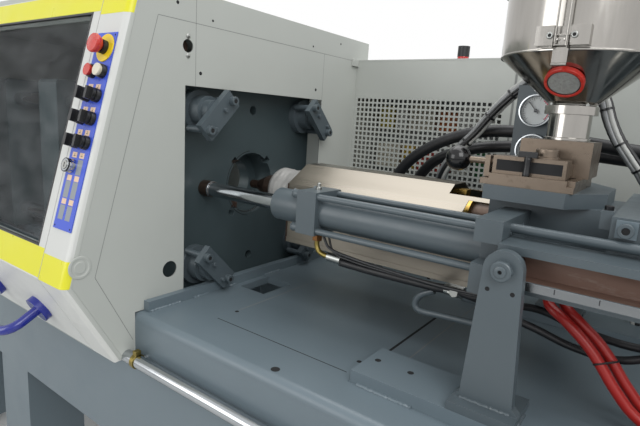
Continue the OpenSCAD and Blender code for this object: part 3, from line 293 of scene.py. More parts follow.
class Paint:
    """All finishes of the machine, named after what they are."""

    # Structured powder coat on the guard and the cabinet.
    GUARD = Finish(
        "guard_powder_coat", "#B9BCB6", rough=0.42, grain=1.6, grain_depth=0.02, blotch_tone=0.03,
    )
    # Lighter powder coat on the door and the control strip.
    DOOR = Finish("door_powder_coat", "#D2D3CF", rough=0.38, grain=1.6, grain_depth=0.02, blotch_tone=0.02)
    # Machine enamel on the bed, brushed on by roller.
    BED = Finish(
        "bed_enamel", "#69767D", rough=0.36, rough_spread=0.05, grain=3.0, grain_depth=0.012,
        blotch=260,
    )
    # Dark blue-grey enamel on the platens.
    PLATEN = Finish(
        "platen_enamel", "#414D50", rough=0.4, rough_spread=0.06, grain=2.5, grain_depth=0.02,
        blotch_tone=0.1,
    )
    # Enamel on cast and turned carriage parts.
    CASTING = Finish(
        "casting_enamel", "#515B60", rough=0.34, rough_spread=0.06, grain=4.0, grain_depth=0.03,
        blotch_tone=0.08,
    )
    # Yellow warning band paint.
    YELLOW = Finish("yellow_enamel", "#E2DE2E", rough=0.35, grain=1.6, grain_depth=0.015, blotch_tone=0.03)
    # Hard chrome on rods and tie bars.
    CHROME = Finish(
        "hard_chrome", "#B4B8BB", metallic=1.0, rough=0.14, rough_spread=0.05, grain=0.6,
        grain_depth=0.002,
    )
    # Turned and milled bare steel.
    STEEL = Finish(
        "machined_steel", "#A8A9A6", metallic=1.0, rough=0.34, rough_spread=0.1, grain=0.5,
        grain_depth=0.006, blotch_tone=0.1, specks="#6E6A62",
    )
    # Blackened socket screws.
    BLACKED = Finish("blackened_steel", "#2B2C2E", metallic=0.9, rough=0.38, grain=0.6, grain_depth=0.005)
    # Zinc plated fasteners.
    ZINC = Finish("zinc_plate", "#A2A4A1", metallic=1.0, rough=0.3, grain_depth=0.004)
    # Rolled stainless cover sheet.
    SHEET = Finish(
        "stainless_cover", "#8B857B", metallic=1.0, rough=0.32, rough_spread=0.07, grain=0.5,
        grain_depth=0.004, blotch=160, blotch_tone=0.12, stretch=(0.06, 1.0, 1.0),
    )
    # Polished stainless of the hopper.
    POLISHED = Finish(
        "polished_stainless", "#A5A29D", metallic=1.0, rough=0.15, rough_spread=0.06, grain_depth=0.004,
        blotch=45, blotch_tone=0.3, stretch=(1.0, 1.0, 0.12),
    )
    # Rusty raw steel in the beam channel.
    RUST = Finish(
        "raw_steel_web", "#6B5348", metallic=0.25, rough=0.62, rough_spread=0.15, grain=2.0,
        grain_depth=0.08, blotch=60, blotch_tone=0.3, stretch=(0.25, 1.0, 1.0), specks="#8A7F76",
    )
    # Milled bright strip under the beam channel.
    MILLED = Finish(
        "milled_strip", "#8D9092", metallic=1.0, rough=0.24, grain=0.5, grain_depth=0.004, blotch=40,
        blotch_tone=0.08, stretch=(0.1, 1.0, 1.0),
    )
    # Heat-browned steel of the hopper seat.
    SEAT = Finish(
        "seat_steel", "#7C7064", metallic=0.9, rough=0.36, rough_spread=0.1, blotch=50,
        blotch_tone=0.14, specks="#5C5347",
    )
    # Dark brown bolted flange around the nozzle hole.
    BROWN = Finish("browned_flange", "#4B3A31", metallic=0.35, grain=1.5, grain_depth=0.03, blotch_tone=0.2)
    # Brown oxide on heated steel.
    TEMPER = Finish(
        "temper_brown", "#4F423A", metallic=0.8, rough=0.4, grain=1.0, blotch=25, blotch_tone=0.25,
    )
    # Copper and brass fittings.
    COPPER = Finish(
        "copper_fitting", "#7F5A3A", metallic=1.0, rough=0.42, grain_depth=0.006, blotch=30,
        blotch_tone=0.15,
    )
    OLIVE = Finish("olive_brass", "#8A7B45", metallic=0.9, rough=0.38, blotch=20, blotch_tone=0.15)
    BRASS = Finish(
        "brass_fitting", "#B99A55", metallic=1.0, rough=0.3, grain_depth=0.006, blotch=30,
        blotch_tone=0.12,
    )
    # Hose cover rubber.
    RUBBER = Finish(
        "hose_rubber", "#16171A", rough=0.46, grain=1.4, grain_depth=0.05, blotch_tone=0.1, edge=0,
    )
    # Red water hose.
    RED_HOSE = Finish("red_hose", "#AA2622", rough=0.34, grain=1.4, grain_depth=0.03, edge=0)
    # Braided grey cable sheath.
    BRAID = Finish(
        "cable_braid", "#8D8F90", metallic=0.3, rough=0.45, grain=1.8, grain_depth=0.35,
        blotch_tone=0.12, edge=0,
    )
    # Cable sheath, plain black.
    CABLE = Finish("black_cable", "#1B1C1E", rough=0.42, edge=0)
    # Cable sheath, pale grey.
    PALE_CABLE = Finish("pale_cable", "#B9BAB6", rough=0.45, edge=0)
    # Plastics of the slide ball, the switches and the door handle.
    BALL = Finish("black_ball_plastic", "#0C0C0E", rough=0.16, grain=0.5, grain_depth=0.002)
    BLACK = Finish("black_switch_plastic", "#191A1C", rough=0.36, grain=0.5, grain_depth=0.006, edge=0.5)
    RED = Finish("red_switch_plastic", "#C8352B", rough=0.26, grain=0.5, grain_depth=0.004, coat=0.3)
    PALE = Finish("ivory_switch_plastic", "#DDD6C2", rough=0.28, grain=0.5, grain_depth=0.004, coat=0.2)
    DISC = Finish("yellow_switch_disc", "#F0CF22", rough=0.34, grain=0.6, grain_depth=0.004)
    BLUE = Finish("blue_handle_plastic", "#16248A", rough=0.26, grain=1.2, coat=0.4)
    # Printed control plate.
    PANEL = Finish("blue_printed_plate", "#3E59CC", rough=0.3, grain_depth=0.004, blotch_tone=0.03)
    PATCH = Finish("beige_print", "#E6C6A6", rough=0.4, grain_depth=0.004, blotch_tone=0.03)
    FIELD = Finish("grey_print", "#8C9298", rough=0.4, grain_depth=0.004, blotch_tone=0.03)
    # Printed marks and seams, and near-black painted shade standing in holes, sockets, slots and gaps.
    MARK = Finish("dark_print", "#26272A", rough=0.6, grain_depth=0.004)
    # The seam grey also stands as painted shade on the inner edge walls of the guard openings.
    SEAM_AND_SHADE = Finish("seam_and_edge_shade", "#868885", rough=0.7, grain_depth=0.004, edge=0)
    SHADE = Finish("painted_shade", "#101113", rough=0.8, grain_depth=0.004, edge=0)
    # Aluminised cloth wrap on the barrel head.
    WRAP = Finish("glass_cloth_wrap", "#A6A5A2", metallic=0.3, grain=1.4, grain_depth=0.25, blotch=30)
    # Gauge dial and its scale.
    DIAL = Finish("gauge_dial", "#EDEEEC", grain_depth=0.002, blotch_tone=0.01)
    ARC = Finish("gauge_arc", "#DE5468", grain_depth=0.002)
    # Plastic granules behind the sight glass.
    GRANULES = Finish("granules", "#A3A29F", grain=2.5, grain_depth=0.6, blotch=5, blotch_tone=0.5)
    # Lens of the signal lamp.
    LENS = Finish("red_lens", "#B4201C", rough=0.2, grain_depth=0.004, coat=0.5, emission=0.1)
    # Galvanised mounting plate.
    GALVANISED = Finish(
        "galvanised_plate", "#9FA3A4", metallic=0.8, rough=0.45, grain=2.0, grain_depth=0.02, blotch=25,
        blotch_tone=0.15,
    )
    # Guard glazing, and the panes of the sight glass and the gauges.
    GLASS = ClearSheet("clear_polycarbonate", "#F8FAFA", tint=0.99)
    SIGHT = ClearSheet("sight_glass_pane", "#FCFDFD", rough=0.05, tint=1.0)


AnyFinish = Finish | ClearSheet


def grid(rows: int, across: int, closed: bool = True) -> list[list[int]]:
    """Lists the four-sided faces between rows of points.

    Args:
        rows: number of rows.
        across: points in each row.
        closed: whether each row closes on itself.

    Returns:
        The corners of each face.
    """
    steps = range(across if closed else across - 1)
    faces = []
    for i in range(rows - 1):
        low, high = i * across, (i + 1) * across
        faces += [[low + k, low + (k + 1) % across, high + (k + 1) % across, high + k] for k in steps]
    return faces


def circle(radius: float, count: int, x: float = 0.0, y: float = 0.0) -> list[Pair]:
    """Gives points round a circle.

    Args:
        radius: its radius.
        count: number of points.
        x: first coordinate of its centre.
        y: second coordinate of its centre.

    Returns:
        The points.
    """
    turns = [2 * math.pi * k / count for k in range(count)]
    return [(x + radius * math.cos(a), y + radius * math.sin(a)) for a in turns]


class Shape:
    """Collects faces in millimetres and turns them into one mesh object."""

    def __init__(self) -> None:
        """Starts empty, in the machine frame."""
        self.points: list[Vector] = []
        self.faces: list[list[int]] = []
        self.marks: list[int] = []
        self.finishes: list[AnyFinish] = []
        self.place = HOME
        self.current = 0

    def use(self, finish: AnyFinish) -> "Shape":
        """Sets the finish of the faces added next.

        Args:
            finish: the finish.

        Returns:
            This shape.
        """
        if finish not in self.finishes:
            self.finishes.append(finish)
        self.current = self.finishes.index(finish)
        return self

    def at(self, place: Matrix) -> "Shape":
        """Sets the frame in which the next points are given.

        Args:
            place: local to machine frame, in millimetres.

        Returns:
            This shape.
        """
        self.place = place
        return self

    def add(self, points: list[Point], faces: list[list[int]]) -> None:
        """Adds points and faces in the current frame and finish.

        Args:
            points: corner points.
            faces: lists of indices into points.
        """
        start = len(self.points)
        self.points.extend(self.place @ Vector(p) for p in points)
        self.faces.extend([[i + start for i in f] for f in faces])
        self.marks.extend([self.current] * len(faces))

    def box(self, low: Point, high: Point) -> "Shape":
        """Adds a box between two corners.

        Args:
            low: lowest corner.
            high: highest corner.

        Returns:
            This shape.
        """
        (a, b, c), (d, e, f) = low, high
        pts = [(a, b, c), (d, b, c), (d, e, c), (a, e, c), (a, b, f), (d, b, f), (d, e, f), (a, e, f)]
        self.add(pts, [[3, 2, 1, 0], [4, 5, 6, 7], [0, 1, 5, 4], [1, 2, 6, 5], [2, 3, 7, 6], [3, 0, 4, 7]])
        return self

    def lathe(self, profile: list[Pair], sides: int = 48, start: float = 0.0, end: float = 360.0) -> "Shape":
        """Turns a profile of (radius, height) around the local Z axis.

        Args:
            profile: the profile, from the bottom up.
            sides: number of steps round.
            start: first angle in degrees.
            end: last angle in degrees.

        Returns:
            This shape.
        """
        whole = abs(end - start - 360) < 1e-6
        count = sides if whole else sides + 1
        pts, faces = [], []
        for i in range(count):
            a = math.radians(start + (end - start) * i / sides)
            pts.extend((r * math.cos(a), r * math.sin(a), z) for r, z in profile)
        n = len(profile)
        for i in range(sides):
            j = (i + 1) % count
            faces.extend([[i * n + k, j * n + k, j * n + k + 1, i * n + k + 1] for k in range(n - 1)])
        self.add(pts, faces)
        return self

    def disc(self, radius: float, z0: float, z1: float, sides: int = 32) -> "Shape":
        """Adds a closed cylinder on the local Z axis.

        Args:
            radius: its radius.
            z0: lower end.
            z1: upper end.
            sides: number of sides.

        Returns:
            This shape.
        """
        ring = circle(radius, sides)
        pts = [(x, y, z0) for x, y in ring] + [(x, y, z1) for x, y in ring]
        faces = [list(range(sides - 1, -1, -1)), list(range(sides, 2 * sides))]
        faces += grid(2, sides)
        self.add(pts, faces)
        return self

    def tube(
        self, path: list[Point], radius: float, sides: int = 12, ripple: float = 0.0, step: float = 0.0
    ) -> "Shape":
        """Sweeps a ring along a path.

        Args:
            path: points of the centre line.
            radius: radius of the tube.
            sides: sides of the ring.
            ripple: depth of corrugation.
            step: points per corrugation.

        Returns:
            This shape.
        """
        line = [Vector(p) for p in path]
        n = len(line)
        up = Vector((0.13, 0.21, 1.0)).normalized()
        pts: list[Point] = []
        side = None
        for i, p in enumerate(line):
            d = (line[min(i + 1, n - 1)] - line[max(i - 1, 0)]).normalized()
            base = up if side is None else side
            side = (base - d * base.dot(d)).normalized()
            other = d.cross(side)
            r = radius + (ripple * math.cos(2 * math.pi * i / step) if step else 0.0)
            for k in range(sides):
                a = 2 * math.pi * k / sides
                q = p + side * (r * math.cos(a)) + other * (r * math.sin(a))
                pts.append((q.x, q.y, q.z))
        faces = grid(n, sides)
        faces.append(list(range(sides - 1, -1, -1)))
        faces.append(list(range((n - 1) * sides, n * sides)))
        self.add(pts, faces)
        return self

    def sheet(self, outline: list[Point], holes: list[list[Point]] | None = None) -> "Shape":
        """Adds a flat face with holes.

        Args:
            outline: outer corners.
            holes: corners of each hole.

        Returns:
            This shape.
        """
        loops = [[Vector(p) for p in outline]] + [[Vector(p) for p in h] for h in holes or []]
        flat = [tuple(p) for loop in loops for p in loop]
        self.add(flat, [list(t) for t in tessellate_polygon(loops)])
        return self

    def build(
        self, name: str, body: Body, slot: str, bevel: float = 0.0, angle: float = 32.0
    ) -> bpy.types.Object:
        """Makes the mesh object and lets it ride on a body.

        Args:
            name: object name.
            body: the body it moves with.
            slot: not used.
            bevel: edge rounding in millimetres.
            angle: edges sharper than this stay sharp, in degrees.

        Returns:
            The object.
        """
        mesh = bpy.data.meshes.new(name)
        mesh.from_pydata([tuple(p * MM) for p in self.points], [], self.faces)
        for finish in self.finishes:
            mesh.materials.append(finish.material())
        for face, mark in zip(mesh.polygons, self.marks):
            face.material_index = mark
            face.use_smooth = True
        work = bmesh.new()
        work.from_mesh(mesh)
        bmesh.ops.recalc_face_normals(work, faces=work.faces)
        limit = math.radians(angle)
        for edge in work.edges:
            if len(edge.link_faces) != 2 or edge.calc_face_angle(0.0) > limit:
                edge.smooth = False
        work.to_mesh(mesh)
        work.free()
        thing = bpy.data.objects.new(name, mesh)
        bpy.context.scene.collection.objects.link(thing)
        if bevel:
            mod = thing.modifiers.new("edge", "BEVEL")
            mod.width = bevel * MM
            mod.segments = 2
            mod.limit_method = "ANGLE"
            mod.angle_limit = limit
        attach(thing, body.value)
        LOG.info("%s: %d points on %s", name, len(mesh.vertices), body.value)
        return thing


def curve(points: list[Point], steps: int = 8) -> list[Point]:
    """Rounds a path through its points.

    Args:
        points: points the path goes through.
        steps: points per span.

    Returns:
        The rounded path.
    """
    line = [Vector(p) for p in points]
    n = len(line)
    path: list[Point] = []
    for i in range(n - 1):
        before, a, b, after = line[max(i - 1, 0)], line[i], line[i + 1], line[min(i + 2, n - 1)]
        reach = (b - a).length / 3
        ta = (b - before).normalized() * reach
        tb = (after - a).normalized() * reach
        span = interpolate_bezier(a, a + ta, b - tb, b, steps + 1)
        path.extend(tuple(p) for p in span[: -1 if i < n - 2 else None])
    return path


def on_slope(x: float, s: float) -> Matrix:
    """Frame on the sloping guard front: local Z outwards, local Y up the slope.

    Args:
        x: place along the machine.
        s: distance down the slope from its upper reference point.

    Returns:
        Local to machine frame.
    """
    top = BELT[0] + (SLOPE_Z - BELT[1]) * math.tan(SLOPE)
    move = Matrix.Translation((x, top - s * math.sin(SLOPE), SLOPE_Z - s * math.cos(SLOPE)))
    return move @ Matrix.Rotation(math.pi / 2 - SLOPE, 4, "X")


def at_latch() -> Matrix:
    """Frame of the hopper latch: local X outwards from the hopper axis.

    Returns:
        Local to machine frame.
    """
    return Matrix.Translation((HOPPER_X, AXIS_Y, 0)) @ Matrix.Rotation(LATCH_DIR, 4, "Z")


def along_x(x: float, y: float, z: float) -> Matrix:
    """Frame at a point with local Z along machine X.

    Args:
        x: place of the origin along X.
        y: place along Y.
        z: place along Z.

    Returns:
        Local to machine frame.
    """
    return Matrix.Translation((x, y, z)) @ Matrix.Rotation(math.pi / 2, 4, "Y")


def facing_front(x: float, y: float, z: float) -> Matrix:
    """Frame at a point with local Z towards the front and local Y up.

    Args:
        x: place of the origin along X.
        y: place along Y.
        z: place along Z.

    Returns:
        Local to machine frame.
    """
    return Matrix.Translation((x, y, z)) @ Matrix.Rotation(math.pi / 2, 4, "X")


def dress(finish: AnyFinish, *nodes: str) -> None:
    """Puts a finish on CAD nodes.

    Args:
        finish: the finish.
        nodes: CAD node names.
    """
    for name in nodes:
        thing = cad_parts[name]
        thing.data.materials.clear()
        thing.data.materials.append(finish.material())
        for face in thing.data.polygons:
            face.material_index = 0


def socket_screw(
    shape: Shape, place: Matrix, radius: float, head: float, finish: Finish = Paint.ZINC
) -> None:
    """Adds a socket head screw, head upwards along local Z.

    Args:
        shape: shape it goes in.
        place: frame at the seat of the head.
        radius: head radius.
        head: head height.
        finish: finish of the head.
    """
    shape.at(place).use(finish)
    rim = [(radius, head - 0.8), (radius - 0.8, head), (radius * 0.55, head), (radius * 0.5, head - 0.4)]
    shape.lathe([(0, 0), (radius, 0), *rim], 24)
    # The near-black hexagon is painted shade standing in for the deep socket.
    shape.use(Paint.SHADE).disc(radius * 0.52, head - 0.6, head - 0.35, 6)


def hex_head(
    shape: Shape, place: Matrix, across: float, height: float, finish: Finish = Paint.ZINC
) -> None:
    """Adds a hexagon head or nut along local Z.

    Args:
        shape: shape it goes in.
        place: frame at the seat.
        across: size across corners.
        height: head height.
        finish: finish of the head.
    """
    shape.at(place).use(finish).disc(across / 2, 0, height, 6)
    shape.disc(across * 0.3, height, height + 2, 20)


def weld(shape: Shape, a: Point, b: Point, size: float, seed: int) -> None:
    """Adds a painted-over weld bead between two points.

    Args:
        shape: shape it goes in.
        a: start.
        b: end.
        size: radius of the bead.
        seed: picks the waviness.
    """
    rand = random.Random(seed)
    start, end = Vector(a), Vector(b)
    count = max(4, int((end - start).length / (size * 1.2)))
    path = []
    for i in range(count + 1):
        p = start.lerp(end, i / count)
        dx, dy, dz = (rand.uniform(-1, 1) * size * share for share in (0.2, 0.2, 0.15))
        path.append((p.x + dx, p.y + dy, p.z + dz))
    shape.at(HOME).tube(path, size, 8, size * 0.18, 2)


@dataclass(frozen=True)
class Line:
    """A pipe, hose or wire; steps is the number of points per span, or 0 for straight spans."""

    finish: Finish
    radius: float
    sides: int
    steps: int
    route: tuple[Point, ...]

    def draw(self, shape: Shape) -> None:
        """Adds the line to a shape.

        Args:
            shape: shape it goes in.
        """
        path = curve(list(self.route), self.steps) if self.steps else list(self.route)
        shape.use(self.finish).tube(path, self.radius, self.sides)


@dataclass
class Bed:
    """Machine bed with deck, plates, feet and front bar."""

    weld_size: float = 4.0
    # Clip on the round bar of the bed front.
    clip: Point = (-346.0, -575.0, 870.0)
    # Cross rail: its left edge and the spans of its welds along Y.
    rail_x: float = -360.0
    rail_welds: tuple[Pair, ...] = (
        (-528, -440), (-400, -345), (-275, -248), (-132, -60), (20, 110), (200, 285),
    )
    # Raised plates: left edge, front edge, and where each weld of the front edge starts.
    plate_x: float = 165.0
    plate_y: float = -466.0
    plate_welds: tuple[float, ...] = (180.0, 420.0, 660.0, 900.0, 1140.0, 1380.0)
    plate_weld: float = 110.0
    # Holes in the deck: X, Y and radius.
    holes: tuple[Point, ...] = ((-218, -381, 5.2), (34, -525, 9.2), (137, -388, 5.2))

    def build(self) -> None:
        """Dresses the bed and adds its welds, seams, holes and bar clip."""
        dress(Paint.BED, "bed_frame", "bed_deck", "deck_plates")
        dress(Paint.ZINC, "levelling_feet")
        dress(Paint.CHROME, "front_rail")
        beads = Shape().use(Paint.BED)
        x, y = self.plate_x, self.plate_y
        spans = [(i, (self.rail_x, a), (self.rail_x, b)) for i, (a, b) in enumerate(self.rail_welds)]
        spans += [(20 + i, (a, y), (a + self.plate_weld, y)) for i, a in enumerate(self.plate_welds)]
        spans += [(30, (x, y), (x, -350)), (31, (x, 226), (x, 110))]
        for seed, start, end in spans:
            weld(beads, (*start, DECK_Z), (*end, DECK_Z), self.weld_size, seed)
        beads.build("deck_welds", Body.FRAME, "bed_paint")
        # Near-black lines and discs are painted shade in the deck gaps and holes; the grey lines are seams.
        lines = Shape().use(Paint.SHADE)
        top, low = DECK_Z + 0.12, DECK_Z - 1.5
        lines.box((-221, -441, low), (141, -439, top)).box((157, -330, DECK_Z - 2), (163, -58, top))
        lines.use(Paint.SEAM_AND_SHADE)
        lines.box((-221, -372, low), (-219, -21, top)).box((206, -340, low), (208, 100, top))
        lines.use(Paint.SHADE)
        for x, y, r in self.holes:
            lines.at(Matrix.Translation((x, y, DECK_Z))).disc(r, -1, 0.15, 24)
        for x in (185, 254):
            lines.at(Matrix.Translation((x, -400, 995))).disc(6.2, -1, 0.15, 20)
        lines.build("deck_lines", Body.FRAME, "bed_paint")
        x, y, z = self.clip
        clip = Shape().at(along_x(x, y, z)).use(Paint.OLIVE)
        clip.lathe([(15.3, 0), (17.5, 0), (17.5, 12), (15.3, 12)], 32)
        clip.at(HOME).box((x, y - 7, z + 14), (x + 12, y + 7, z + 26))
        clip.build("bar_clip", Body.FRAME, "chrome", 0.5)


@dataclass
class Platens:
    """Fixed, moving and tail platens, tie bars, nuts and their locks."""

    face_x: float = -440.0
    # Lock bars of the tie bar nuts: front face, then distances from the machine axis.
    lock_front: float = -341.4
    lock_y: Pair = (-215.0, 204.0)
    lock_z: float = 197.0
    # Radius and height of the screws on each lock bar.
    big: Pair = (11.3, 14.3)
    small: Pair = (5.3, 8.3)

    def build(self) -> None:
        """Dresses the clamp unit and adds its flange, lock screws, marks and rod ends."""
        dress(Paint.PLATEN, "fixed_platen", "moving_platen", "tail_platen")
        dress(Paint.CHROME, "tie_bars", "clamp_ram", "carriage_rods")
        dress(Paint.CASTING, "tie_bar_nuts", "nut_lock_bars", "clamp_cylinder")
        dress(Paint.STEEL, "ejector")
        ring = Shape().at(along_x(self.face_x - 70, AXIS_Y, AXIS_Z)).use(Paint.BROWN)
        ring.lathe([(62.8, 0), (62.8, 26), (66, 28), (84, 28), (89, 24), (89, 0)], 40, 190, 350)
        for a in (235, 305):
            turn = math.radians(a)
            spot = along_x(self.face_x - 42, AXIS_Y + 76 * math.sin(turn), AXIS_Z - 76 * math.cos(turn))
            socket_screw(ring, spot, 10, 8, Paint.BROWN)
        ring.at(along_x(self.face_x - 14, AXIS_Y, AXIS_Z)).use(Paint.MILLED)
        ring.lathe([(90.6, 0), (86, 0), (86, 3), (90.6, 3)], 20, -40, 40)
        ring.build("nozzle_flange", Body.FRAME, "platen_paint")
        # The engraved arc on the platen face is drawn as a near-black line of painted shade.
        marks = Shape().use(Paint.SHADE).at(along_x(self.face_x, AXIS_Y, AXIS_Z))
        marks.lathe([(96, 0.1), (96, 0.35), (98, 0.35), (98, 0.1)], 60, 185, 355)
        marks.build("platen_marks", Body.FRAME, "platen_paint")
        screws = Shape()
        big, small = self.big, self.small
        for sy, dy in zip((-1, 1), self.lock_y):
            for sz in (-1, 1):
                centre = Matrix.Translation((self.lock_front, AXIS_Y + dy, AXIS_Z + sz * self.lock_z))
                centre = centre @ Matrix.Rotation(math.radians(45 * sy * sz), 4, "X")
                for y, z, (r, h) in ((0, 52, big), (0, -52, big), (0, 19, small), (12 * sz, -37, small)):
                    socket_screw(screws, centre @ along_x(0, y, z), r, h, Paint.CASTING)
        screws.build("lock_screws", Body.FRAME, "bed_paint")
        ends = Shape().use(Paint.TEMPER)
        for sy in (-1, 1):
            ends.at(along_x(self.face_x, AXIS_Y + sy * ROD_OUT, AXIS_Z))
            ends.lathe([(19.2, 0.2), (22, 0.2), (22, 28), (20.5, 34.2), (19.2, 34.2)], 40)
        ends.build("rod_ends", Body.FRAME, "chrome")


@dataclass
class Guard:
    """Guard end panel with its rounded front, seams and bands, and the hood."""

    corner: float = 18.0
    sheet: float = 3.0
    # Opening for the platen: its two sides along Y and its top.
    opening: Point = (-415.0, 131.0, 1500.0)
    bottom: float = 972.0
    # Top of the cabinet, and the rear edge of the panel above it.
    shoulder: float = 1649.3
    back: float = 397.0
    # Round openings, then the small holes: Y, Z and radius.
    ports: tuple[Point, ...] = ((-408, 1590, 15), (-457, 1056, 20.5))
    holes: tuple[Point, ...] = (
        (-369.8, 1531.6, 4.5), (95.4, 1529.8, 4.5), (-334, 1659, 3), (70, 1658, 3), (219, 1687, 3),
        (-438, 1680, 4),
    )
    # Sheet joints, each from one (y, z) to another.
    joints: tuple[tuple[Pair, Pair], ...] = (
        ((-490, 1644), (327, 1644)),
        ((-385, 1713), (-385, 1500)),
        ((131, 1644), (131, 1500)),
        ((-490, 1643), (-649, 1078)),
        ((-649, 1078), (-560, 905)),
    )
    # Angle of the front corner at which the light strip ends, in degrees.
    strip_end: float = 60.0
    top_front: float = field(init=False)

    def __post_init__(self) -> None:
        """Works out where the slope meets the top."""
        self.top_front = BELT[0] + (GUARD_TOP - BELT[1]) * math.tan(SLOPE)

    def inset(self, path: list[Pair], d: float) -> list[Pair]:
        """Moves a (y, z) path inwards.

        Args:
            path: the path, from the top down the front.
            d: distance, positive into the guard.

        Returns:
            The moved path.
        """
        moved: list[Pair] = []
        n = len(path)
        for i in range(n):
            normals = []
            for a, b in ((i - 1, i), (i, i + 1)):
                if a >= 0 and b < n:
                    dy, dz = path[b][0] - path[a][0], path[b][1] - path[a][1]
                    length = math.hypot(dy, dz)
                    normals.append((-dz / length, dy / length))
            if len(normals) == 1:
                ny, nz = normals[0]
                if abs(ny) > 0.5:
                    moved.append((path[i][0] + d / ny, path[i][1]))
                else:
                    moved.append((path[i][0], path[i][1] + d / nz))
            else:
                (ay, az), (by, bz) = normals
                k = d / (1 + ay * by + az * bz)
                moved.append((path[i][0] + k * (ay + by), path[i][1] + k * (az + bz)))
        return moved

    def skin(self, shape: Shape, path: list[Pair], x0: float, lift: float, stop: float = 90.0) -> None:
        """Adds the rounded strip along a path.

        Args:
            shape: shape it goes in.
            path: (y, z) path.
            x0: left edge.
            lift: distance outwards from the sheet.
            stop: angle of the corner at which the skin ends, in degrees.
        """
        r = self.corner
        pts = [(x0, y, z) for y, z in self.inset(path, -lift)]
        steps = 8
        for k in range(steps + 1):
            a = math.radians(stop) * k / steps
            x = GUARD_X - r + (r + lift) * math.sin(a)
            pts += [(x, y, z) for y, z in self.inset(path, r - (r + lift) * math.cos(a))]
        shape.add(pts, grid(steps + 2, len(path), closed=False))

    def panel(self) -> None:
        """Builds the end panel with its front strip."""
        front = [(self.top_front, GUARD_TOP), BELT, UNDER, (BED_FRONT, UNDER[1])]
        shape = Shape().use(Paint.DOOR)
        self.skin(shape, front, GAP_X, 0.0, self.strip_end)
        shape.use(Paint.GUARD)
        r = self.corner
        pts: list[Point] = []
        steps = 4
        for k in range(steps + 1):
            a = math.radians(self.strip_end + (90 - self.strip_end) * k / steps)
            x = GUARD_X - r + r * math.sin(a)
            pts += [(x, y, z) for y, z in self.inset(front, r - r * math.cos(a))]
        shape.add(pts, grid(steps + 1, len(front), closed=False))
        y0, y1, z1 = self.opening
        low, top = self.bottom, self.shoulder
        frame_line = [(y0, low), (y0, z1), (y1, z1), (y1, low)]
        outer = self.inset(front, r)
        outer += [(BED_FRONT, low), *frame_line, (CABINET_Y, low), (CABINET_Y, top)]
        outer += [(self.back, top), (self.back, GUARD_TOP)]
        holes = [circle(radius, 28, y, z) for y, z, radius in self.ports]
        faces = (GUARD_X, GUARD_X - self.sheet)
        for x in faces:
            shape.sheet([(x, y, z) for y, z in outer], [[(x, y, z) for y, z in h] for h in holes])
        # The walls round the opening and the ports take the seam grey as painted shade on the inner edges.
        shape.use(Paint.SEAM_AND_SHADE)
        for rim in [frame_line] + [h + h[:1] for h in holes]:
            shape.add([(x, y, z) for y, z in rim for x in faces], grid(len(rim), 2, closed=False))
        thing = shape.build("guard_end", Body.FRAME, "guard_paint")
        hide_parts("guard_end_panel")

    def seam(self, shape: Shape, a: Pair, b: Pair, width: float = 1.4) -> None:
        """Adds a sheet joint on the end panel as a narrow dark line.

        Args:
            shape: shape it goes in.
            a: start (y, z).
            b: end (y, z).
            width: width of the line.
        """
        along = Vector((0, b[0] - a[0], b[1] - a[1])).normalized()
        side = Vector((0, -along.z, along.y)) * width / 2
        x = GUARD_X + 0.15
        ends = [Vector((x, *a)), Vector((x, *b))]
        pts = [ends[0] - side, ends[1] - side, ends[1] + side, ends[0] + side]
        shape.add([tuple(p) for p in pts], [[0, 1, 2, 3]])

    def fittings(self) -> None:
        """Adds the seams, small holes, screws, embossed disc and corner clip of the end panel."""
        lines = Shape().use(Paint.SEAM_AND_SHADE)
        for a, b in self.joints:
            self.seam(lines, a, b)
        # The small holes, and the block behind the upper port, are near-black painted shade.
        lines.use(Paint.SHADE)
        for y, z, r in self.holes:
            lines.at(along_x(GUARD_X, y, z)).disc(r, 0, 0.2, 20)
        lines.at(HOME).box((GUARD_X - 40, -420, 1575), (GUARD_X - 34, -395, 1605))
        lines.use(Paint.BROWN).at(along_x(GUARD_X - 20, -408, 1590)).disc(15, -4, 0, 28)
        lines.build("panel_lines", Body.FRAME, "guard_paint")
        bits = Shape().use(Paint.ZINC)
        for y, z in ((-408, 1612), (-408, 1568)):
            bits.at(along_x(GUARD_X, y, z)).lathe([(6, 0), (5.6, 1.6), (3.4, 2.9), (0.3, 3.4)], 24)
        disc = [(25, 0), (25, 1.2), (23.5, 1.6), (19, 1.6), (18, 0.7), (13, 0.7), (12, 1.6), (0.3, 1.6)]
        bits.use(Paint.GUARD).at(along_x(GUARD_X, -681, 1108)).lathe(disc, 40)
        bits.at(HOME).box((GUARD_X, 292, 1626), (GUARD_X + 8, 326, 1648))
        bits.build("panel_bits", Body.FRAME, "guard_paint", 0.6)

    def bands(self) -> None:
        """Adds the yellow bands of the strip."""
        shape = Shape().use(Paint.YELLOW)
        for z0, z1 in ((GUARD_TOP - 0.3, SLOPE_Z), (BELT[1] + 56, BELT[1])):
            path = [(BELT[0] + (z - BELT[1]) * math.tan(SLOPE), z) for z in (z0, z1)]
            self.skin(shape, path, GAP_X, 0.2, 78.0)
        shape.build("strip_bands", Body.FRAME, "light_paint")

    def build(self) -> None:
        """Builds the guard."""
        dress(Paint.GUARD, "guard_hood")
        self.panel()
        self.fittings()
        self.bands()


